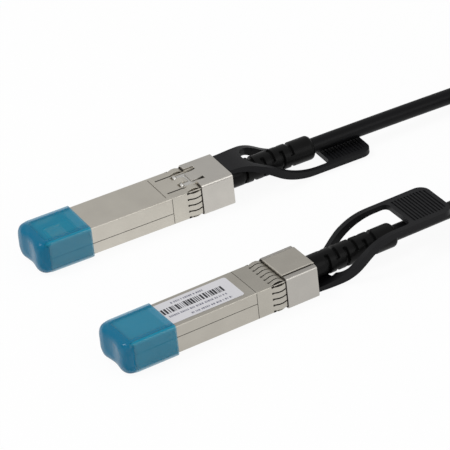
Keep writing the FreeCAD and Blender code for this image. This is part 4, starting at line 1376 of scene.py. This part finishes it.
@dataclass(frozen=True)
class FreeCable:
    """The cable between the two boots, its spare length wound in two flat layers, in millimetres.

    It winds inwards on the lower layer and outwards again on the upper one, clockwise from above.

    Args:
        diameter: the cable's diameter.
        straight_a: how far it runs straight from plug A's boot.
        straight_b: the same from plug B's boot.
        reach_a: how far ahead of plug A's boot the coil's middle is.
        spread: how much the outer turn's radius is more than half the way between the two leads.
        rest: how high the lowest turn lies above the floor.
        turns: how many turns the coil has.
        rise_turns: over what part of a turn it climbs to the upper layer.
        points_a_turn: how many control points each turn has.
        cord_share: the spline's length as a share of the runs between its control points. Not used.
        steps_a_point: how finely the spline is drawn, in steps for each control point.
        section_steps: how finely its round section is drawn.
    """

    diameter: float = 4.5
    straight_a: float = 26.0
    straight_b: float = 23.0
    reach_a: float = 74.0
    spread: float = 2.0
    rest: float = 0.6
    turns: float = 4.5
    rise_turns: float = 0.17
    points_a_turn: int = 18
    cord_share: float = 0.99
    steps_a_point: int = 8
    section_steps: int = 6

    def centre_and_radius(self) -> tuple[np.ndarray, float]:
        """The coil's size and place, from where the two leads reach it.

        Returns:
            The coil's centre and its outer turn's radius.
        """
        end_a = PLUG_A.exit_point() + self.reach_a * PLUG_A.turn()[:, 0]
        exit_b = PLUG_B.exit_point()
        radius = (end_a[1] - exit_b[1]) / 2
        return np.array([end_a[0], exit_b[1] + radius, 0.0]), radius + self.spread

    def wound(self) -> np.ndarray:
        """The coil's points.

        The angle falls evenly from a quarter turn. The radius falls by a diameter a turn on the lower
        layer, holds while the cable climbs, and grows again on the upper layer. The height follows a
        smooth step over the climb. The points stand out a little, because the spline cuts inside them.

        Returns:
            One control point to a row.
        """
        centre, radius = self.centre_and_radius()
        turn = np.arange(1, int(self.turns * self.points_a_turn)) / self.points_a_turn
        layer = (self.turns - self.rise_turns) / 2
        inwards = np.minimum(turn, layer)
        outwards = np.maximum(turn - layer - self.rise_turns, 0.0)
        stand_out = math.cos(math.pi / self.points_a_turn) ** 0.5
        ring = (radius - self.diameter * (inwards - outwards)) / stand_out
        height = self.rest + self.diameter * (0.5 + fade(turn, layer, layer + self.rise_turns))
        angle = np.pi / 2 - 2 * np.pi * turn
        return np.stack([centre[0] + ring * np.cos(angle), centre[1] + ring * np.sin(angle), height], axis=-1)

    def route(self) -> np.ndarray:
        """The cable's line from plug A's boot, round the coil, to plug B's boot.

        Returns:
            One control point to a row.
        """
        centre, radius = self.centre_and_radius()
        exit_a = PLUG_A.exit_point()
        exit_b = PLUG_B.exit_point()
        bend_a = exit_a + self.straight_a * PLUG_A.turn()[:, 0]
        bend_b = exit_b + self.straight_b * PLUG_B.turn()[:, 0]
        low = centre + np.array([0.0, radius, self.rest + self.diameter / 2])
        high = centre + np.array([0.0, -radius, self.rest + 1.5 * self.diameter])
        return np.concatenate([[exit_a, bend_a, low], self.wound(), [high, bend_b, exit_b]])

    def build(self) -> bpy.types.Object:
        """Returns:
            The cable.
        """
        route = self.route() * MM
        curve = bpy.data.curves.new("free_cable", "CURVE")
        curve.dimensions = "3D"
        spline = curve.splines.new("NURBS")
        spline.points.add(len(route) - 1)
        weighted = np.concatenate([route, np.ones((len(route), 1))], axis=1)
        spline.points.foreach_set("co", weighted.ravel())
        spline.order_u = 3
        spline.use_endpoint_u = True
        spline.resolution_u = self.steps_a_point
        curve.bevel_depth = self.diameter / 2 * MM
        curve.bevel_resolution = self.section_steps
        curve.use_fill_caps = True
        cable = bpy.data.objects.new("free_cable", curve)
        bpy.context.scene.collection.objects.link(cable)
        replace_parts(cable, "cable_lead_a", "cable_lead_b", "cable_coil")
        settle(cable, ROOT, JACKET)
        dress_node("coil_tie", TIE_WEAVE)
        return cable


@dataclass(frozen=True)
class Lamp:
    """A square soft light that faces the object.

    Args:
        name: its name.
        at: where it stands, in metres.
        size: the length of its side, in metres.
        power: its power, in watts.
    """

    name: str
    at: Triple
    size: float
    power: float

    def build(self) -> None:
        """Makes the lamp, turned to the middle of the floor."""
        light = bpy.data.lights.new(self.name, "AREA")
        light.size = self.size
        light.energy = self.power
        lamp = bpy.data.objects.new(self.name, light)
        lamp.location = self.at
        lamp.rotation_mode = "QUATERNION"
        lamp.rotation_quaternion = (-Vector(self.at)).to_track_quat("-Z", "Y")
        bpy.context.scene.collection.objects.link(lamp)


@dataclass(frozen=True)
class Studio:
    """The pale floor, the soft light and the camera at the photograph's angle, in metres.

    Args:
        from_plug: from plug B's place on the floor to the camera.
        right: the camera's right.
        up: the camera's up.
        back: the direction opposite to its view.
        lens: the camera's focal length, in millimetres.
        sensor: the sensor's width, in millimetres.
        view_range: the nearest and the farthest that the camera sees.
        floor_half: half the floor's width.
        floor_drop: how far the floor lies under the object.
        floor_colour: the floor's colour in the lamps' light.
        floor_glow: the share of plain white in what the camera, glossy and clear surfaces see of it.
        world_strength: how strong the world's white light is.
        lamps: the lamps.
    """

    from_plug: Triple = (-0.487692, -0.990934, 0.737621)
    right: Triple = (0.850873, -0.51666, -0.095277)
    up: Triple = (0.347462, 0.417381, 0.839681)
    back: Triple = (-0.394062, -0.747567, 0.534658)
    lens: float = 400.0
    sensor: float = 36.0
    view_range: Span = (0.01, 20.0)
    floor_half: float = 6.0
    floor_drop: float = 0.00002
    floor_colour: float = 0.85
    floor_glow: float = 0.93
    world_strength: float = 0.62
    lamps: tuple[Lamp, ...] = (
        Lamp("key", (-0.5, 0.25, 0.9), 0.5, 5.0),
        Lamp("fill", (0.35, -0.9, 0.5), 0.6, 2.0),
    )

    def floor_white(self) -> bpy.types.Material:
        """A matt white that glows to the camera, to glossy and to transmission rays.

        The matt part keeps the object's shadow.

        Returns:
            The material.
        """
        material = bpy.data.materials.new("floor_white")
        graph = ShaderGraph.of_material(material)
        grey = self.floor_colour
        matt = graph.add("ShaderNodeBsdfDiffuse", {"Color": (grey, grey, grey, 1.0)})
        glow = graph.add("ShaderNodeEmission", {"Color": (1.0, 1.0, 1.0, 1.0)})
        path = graph.add("ShaderNodeLightPath")
        seen = graph.add("ShaderNodeMath", operation="MAXIMUM")
        either = graph.add("ShaderNodeMath", operation="MAXIMUM")
        share = graph.add("ShaderNodeMath", {1: self.floor_glow}, operation="MULTIPLY")
        mix = graph.add("ShaderNodeMixShader")
        graph.link(path.outputs["Is Camera Ray"], seen.inputs[0])
        graph.link(path.outputs["Is Transmission Ray"], seen.inputs[1])
        graph.link(seen.outputs[0], either.inputs[0])
        graph.link(path.outputs["Is Glossy Ray"], either.inputs[1])
        graph.link(either.outputs[0], share.inputs[0])
        graph.link(share.outputs[0], mix.inputs["Fac"])
        graph.link(matt.outputs["BSDF"], mix.inputs[1])
        graph.link(glow.outputs["Emission"], mix.inputs[2])
        graph.surface(mix.outputs["Shader"])
        return material

    def floor(self) -> None:
        """A wide flat square under the object."""
        corners = self.floor_half * np.array([[-1, -1, 0], [1, -1, 0], [1, 1, 0], [-1, 1, 0]])
        floor = mesh_piece("floor", corners - [0, 0, self.floor_drop], [[0, 1, 2, 3]])
        floor.data.materials.append(self.floor_white())

    def light(self) -> None:
        """A white world and the lamps."""
        world = bpy.data.worlds.new("studio")
        bpy.context.scene.world = world
        world.use_nodes = True
        background = world.node_tree.nodes["Background"]
        background.inputs["Color"].default_value = (1.0, 1.0, 1.0, 1.0)
        background.inputs["Strength"].default_value = self.world_strength
        for lamp in self.lamps:
            lamp.build()

    def camera(self) -> None:
        """The camera, from the fit of the plugs' corners in the photograph, placed from plug B."""
        origin = PLUG_B.origin() * MM
        at = Vector((origin[0], origin[1], 0.0)) + Vector(self.from_plug)
        data = bpy.data.cameras.new("camera")
        data.sensor_width = self.sensor
        data.lens = self.lens
        data.clip_start = self.view_range[0]
        data.clip_end = self.view_range[1]
        camera = bpy.data.objects.new("camera", data)
        axes = Matrix((self.right, self.up, self.back)).transposed().to_4x4()
        camera.matrix_world = Matrix.Translation(at) @ axes
        bpy.context.scene.collection.objects.link(camera)
        bpy.context.scene.camera = camera

    def build(self) -> None:
        """Sets up everything that isn't the object."""
        self.camera()
        self.floor()
        self.light()
        bpy.context.scene.view_settings.view_transform = "Standard"


def main() -> None:
    """Builds the studio, the cable and both plugs in turn."""
    logging.basicConfig(level=logging.INFO, format="%(name)s: %(message)s")
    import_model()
    Studio().build()
    FreeCable().build()
    # Painted light and shade: plug A's metal is painted a little lighter and plug B's darker, for how the
    # light falls on each.
    Plug(PLUG_A, painted_light_share=1.03).build()
    Plug(PLUG_B, painted_light_share=0.83).build()


if __name__ == "__main__":
    main()
